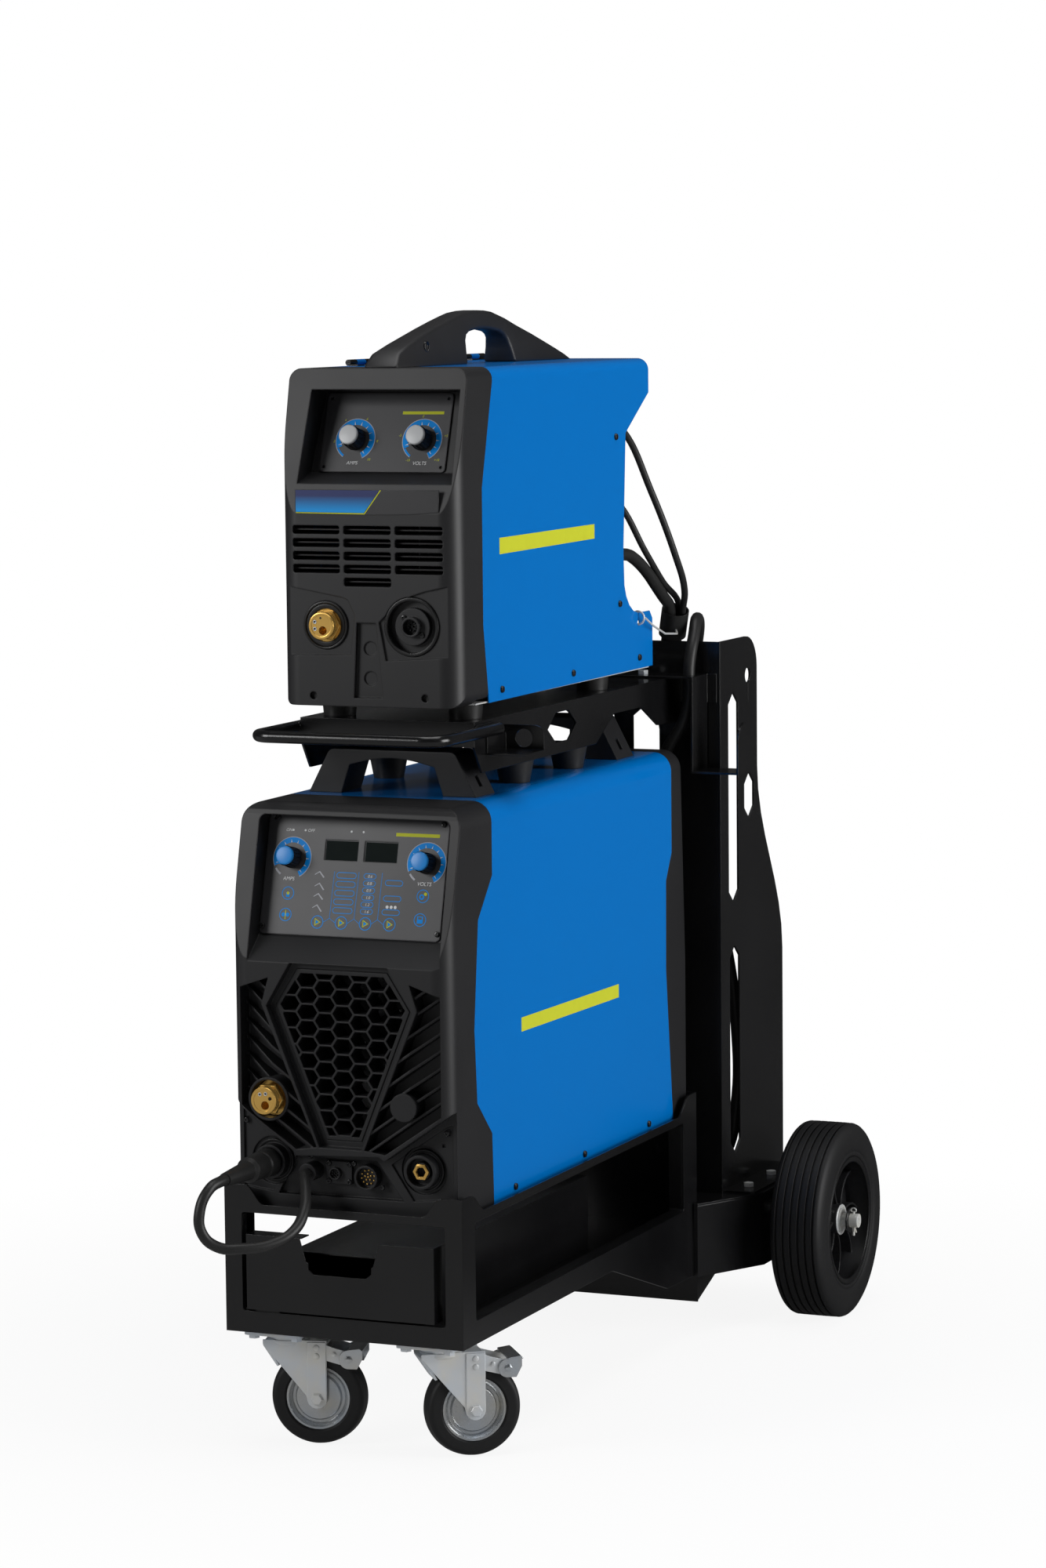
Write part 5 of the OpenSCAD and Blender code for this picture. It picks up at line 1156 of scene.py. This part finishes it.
# Bead of overlapping puddles along a line
def weldBead(start, end, width):
    start, end = Vector(start), Vector(end)
    count = max(4, int((end - start).length / 1.6))
    bead = curveObject("bead", dimensions="3D", bevel_depth=width / 2000, bevel_resolution=2,
                       use_fill_caps=True)
    puddles = [start.lerp(end, i / count) / 1000 for i in range(count + 1)]
    spline = polyThrough(bead.data, puddles, False)
    for i, point in enumerate(spline.points):
        point.radius = 0.86 + 0.2 * math.sin(2.2 * i) + 0.1 * math.sin(5.1 * i + 1)
    return madeMesh(bead)


def makeWelds(finishes):
    beads = [weldBead((s * a[0], *a[1:]), (s * b[0], *b[1:]), width)
             for a, b, width in welds for s in (-1, 1)]
    pick(settleJoined(beads, "shelfWelds", "cart", finishes["black_steel"]))
    bpy.ops.object.shade_smooth()
    print("welds done")


# Lamps by place, what they aim at and size, in metres, and their power in watts
lampValues = {
    "over": {"place": (0.2, -0.3, 3.6), "aim": (0, 0, 0.8), "size": 2.2, "watts": 46},
    "left": {"place": (-2.4, -3.4, 2.3), "aim": (0, 0, 0.8), "size": 1.6, "watts": 78},
    "right": {"place": (4.1, 0.3, 1.5), "aim": (0, 0, 0.8), "size": 2.4, "watts": 140},
}
# Strength of the fill light, of the sky in glossy surfaces, and of the floor in them before and
# behind the cart
lightLevels = {"fill": 0.12, "mirroredSky": 0.05, "mirroredFront": 0.36, "mirroredBack": 0.06}


# Metres; the fade is [distance times its scale, share of white]
floorValues = {
    "size": 60, "shade": (0.86, 0.86, 0.86), "roughness": 0.9,
    "fadeScale": 0.4, "fade": [(0.2, 0.9), (0.6, 1.0)],
    "depthScale": 0.2, "front": 0.35, "back": 0.6,
}


# Pale floor that keeps the shadow and looks darker in glossy surfaces
def makeFloor():
    v = floorValues
    bpy.ops.object.select_all(action="DESELECT")
    bpy.ops.mesh.primitive_plane_add(size=v["size"], location=(0, 0, 0))
    floor = bpy.context.object
    floor.name = "floor"
    f = Finish("floorPale")
    f.set(Base_Color=v["shade"], Roughness=v["roughness"])
    seen = f.node("LightPath", output="Is Camera Ray")
    glow = f.node("Emission", sockets={"Color": (1, 1, 1), "Strength": 1.0})
    reach = f.node("VectorMath", {"operation": "LENGTH"}, {0: f.place}, output=1)
    fade = f.ramp(reach * v["fadeScale"], v["fade"])
    lit = Value(f, f.shader.outputs[0])
    blend = f.node("MixShader", sockets={0: seen * fade, 1: lit, 2: glow})
    depth = f.node("SeparateXYZ", sockets={"Vector": f.place}, output=1)
    level = f.ramp(depth * v["depthScale"] + 0.5,
                   [(v["front"], lightLevels["mirroredFront"]), (v["back"], lightLevels["mirroredBack"])])
    dim = f.node("Emission", sockets={"Color": level, "Strength": 1.0})
    mirrored = f.node("LightPath", output="Is Glossy Ray")
    surface = f.node("MixShader", sockets={0: mirrored, 1: blend, 2: dim})
    f.feed(f.tree.nodes["Material Output"].inputs["Surface"], surface)
    floor.data.materials.append(f.material)


# White to the camera, dim in glossy surfaces, and a faint fill light for the rest
def makeSky():
    world = bpy.data.worlds.new("studio")
    scene.world = world
    world.use_nodes = True
    tree = world.node_tree
    plain = tree.nodes["Background"]
    plain.inputs[0].default_value = (1, 1, 1, 1)
    plain.inputs[1].default_value = lightLevels["fill"]
    path = tree.nodes.new("ShaderNodeLightPath")
    surface = plain.outputs[0]
    for ray, strength in (("Is Glossy Ray", lightLevels["mirroredSky"]), ("Is Camera Ray", 1.0)):
        level = tree.nodes.new("ShaderNodeBackground")
        level.inputs[0].default_value = (1, 1, 1, 1)
        level.inputs[1].default_value = strength
        mixed = tree.nodes.new("ShaderNodeMixShader")
        tree.links.new(path.outputs[ray], mixed.inputs[0])
        tree.links.new(surface, mixed.inputs[1])
        tree.links.new(level.outputs[0], mixed.inputs[2])
        surface = mixed.outputs[0]
    tree.links.new(surface, tree.nodes["World Output"].inputs[0])


def makeLamps():
    for name, spec in lampValues.items():
        data = bpy.data.lights.new(name, "AREA")
        data.size = spec["size"]
        data.energy = spec["watts"]
        lamp = bpy.data.objects.new(name, data)
        scene.collection.objects.link(lamp)
        lamp.location = spec["place"]
        toward = Vector(spec["aim"]) - Vector(spec["place"])
        lamp.rotation_euler = toward.to_track_quat("-Z", "Y").to_euler()


makeCamera()
finishes = makeFinishes()
inks = makeInks()
paintFrame(finishes)
makeCords(finishes)
makePowerPrint(inks)
makeFeederPrint(inks)
makeSideStripes(inks)
for knob in knobs:
    makeKnob(knob, finishes)
print("knobs done")
makeScrews(finishes)
makeSockets(finishes)
for castor in castorSides:
    makeCastorFork(castor, finishes)
    makeCastorPedal(castor, finishes)
    makeCastorRim(castor, finishes)
print("castors done")
for makeWheelPiece in (makeHub, makeTyre):
    makeWheelPiece("left", -1, finishes)
    makeWheelPiece("right", 1, finishes)
print("rear wheels done")
makeGrille(finishes)
makeHandle(finishes)
makeWelds(finishes)
makeFloor()
makeSky()
makeLamps()
scene.view_settings.view_transform = "Standard"
print("stage done")
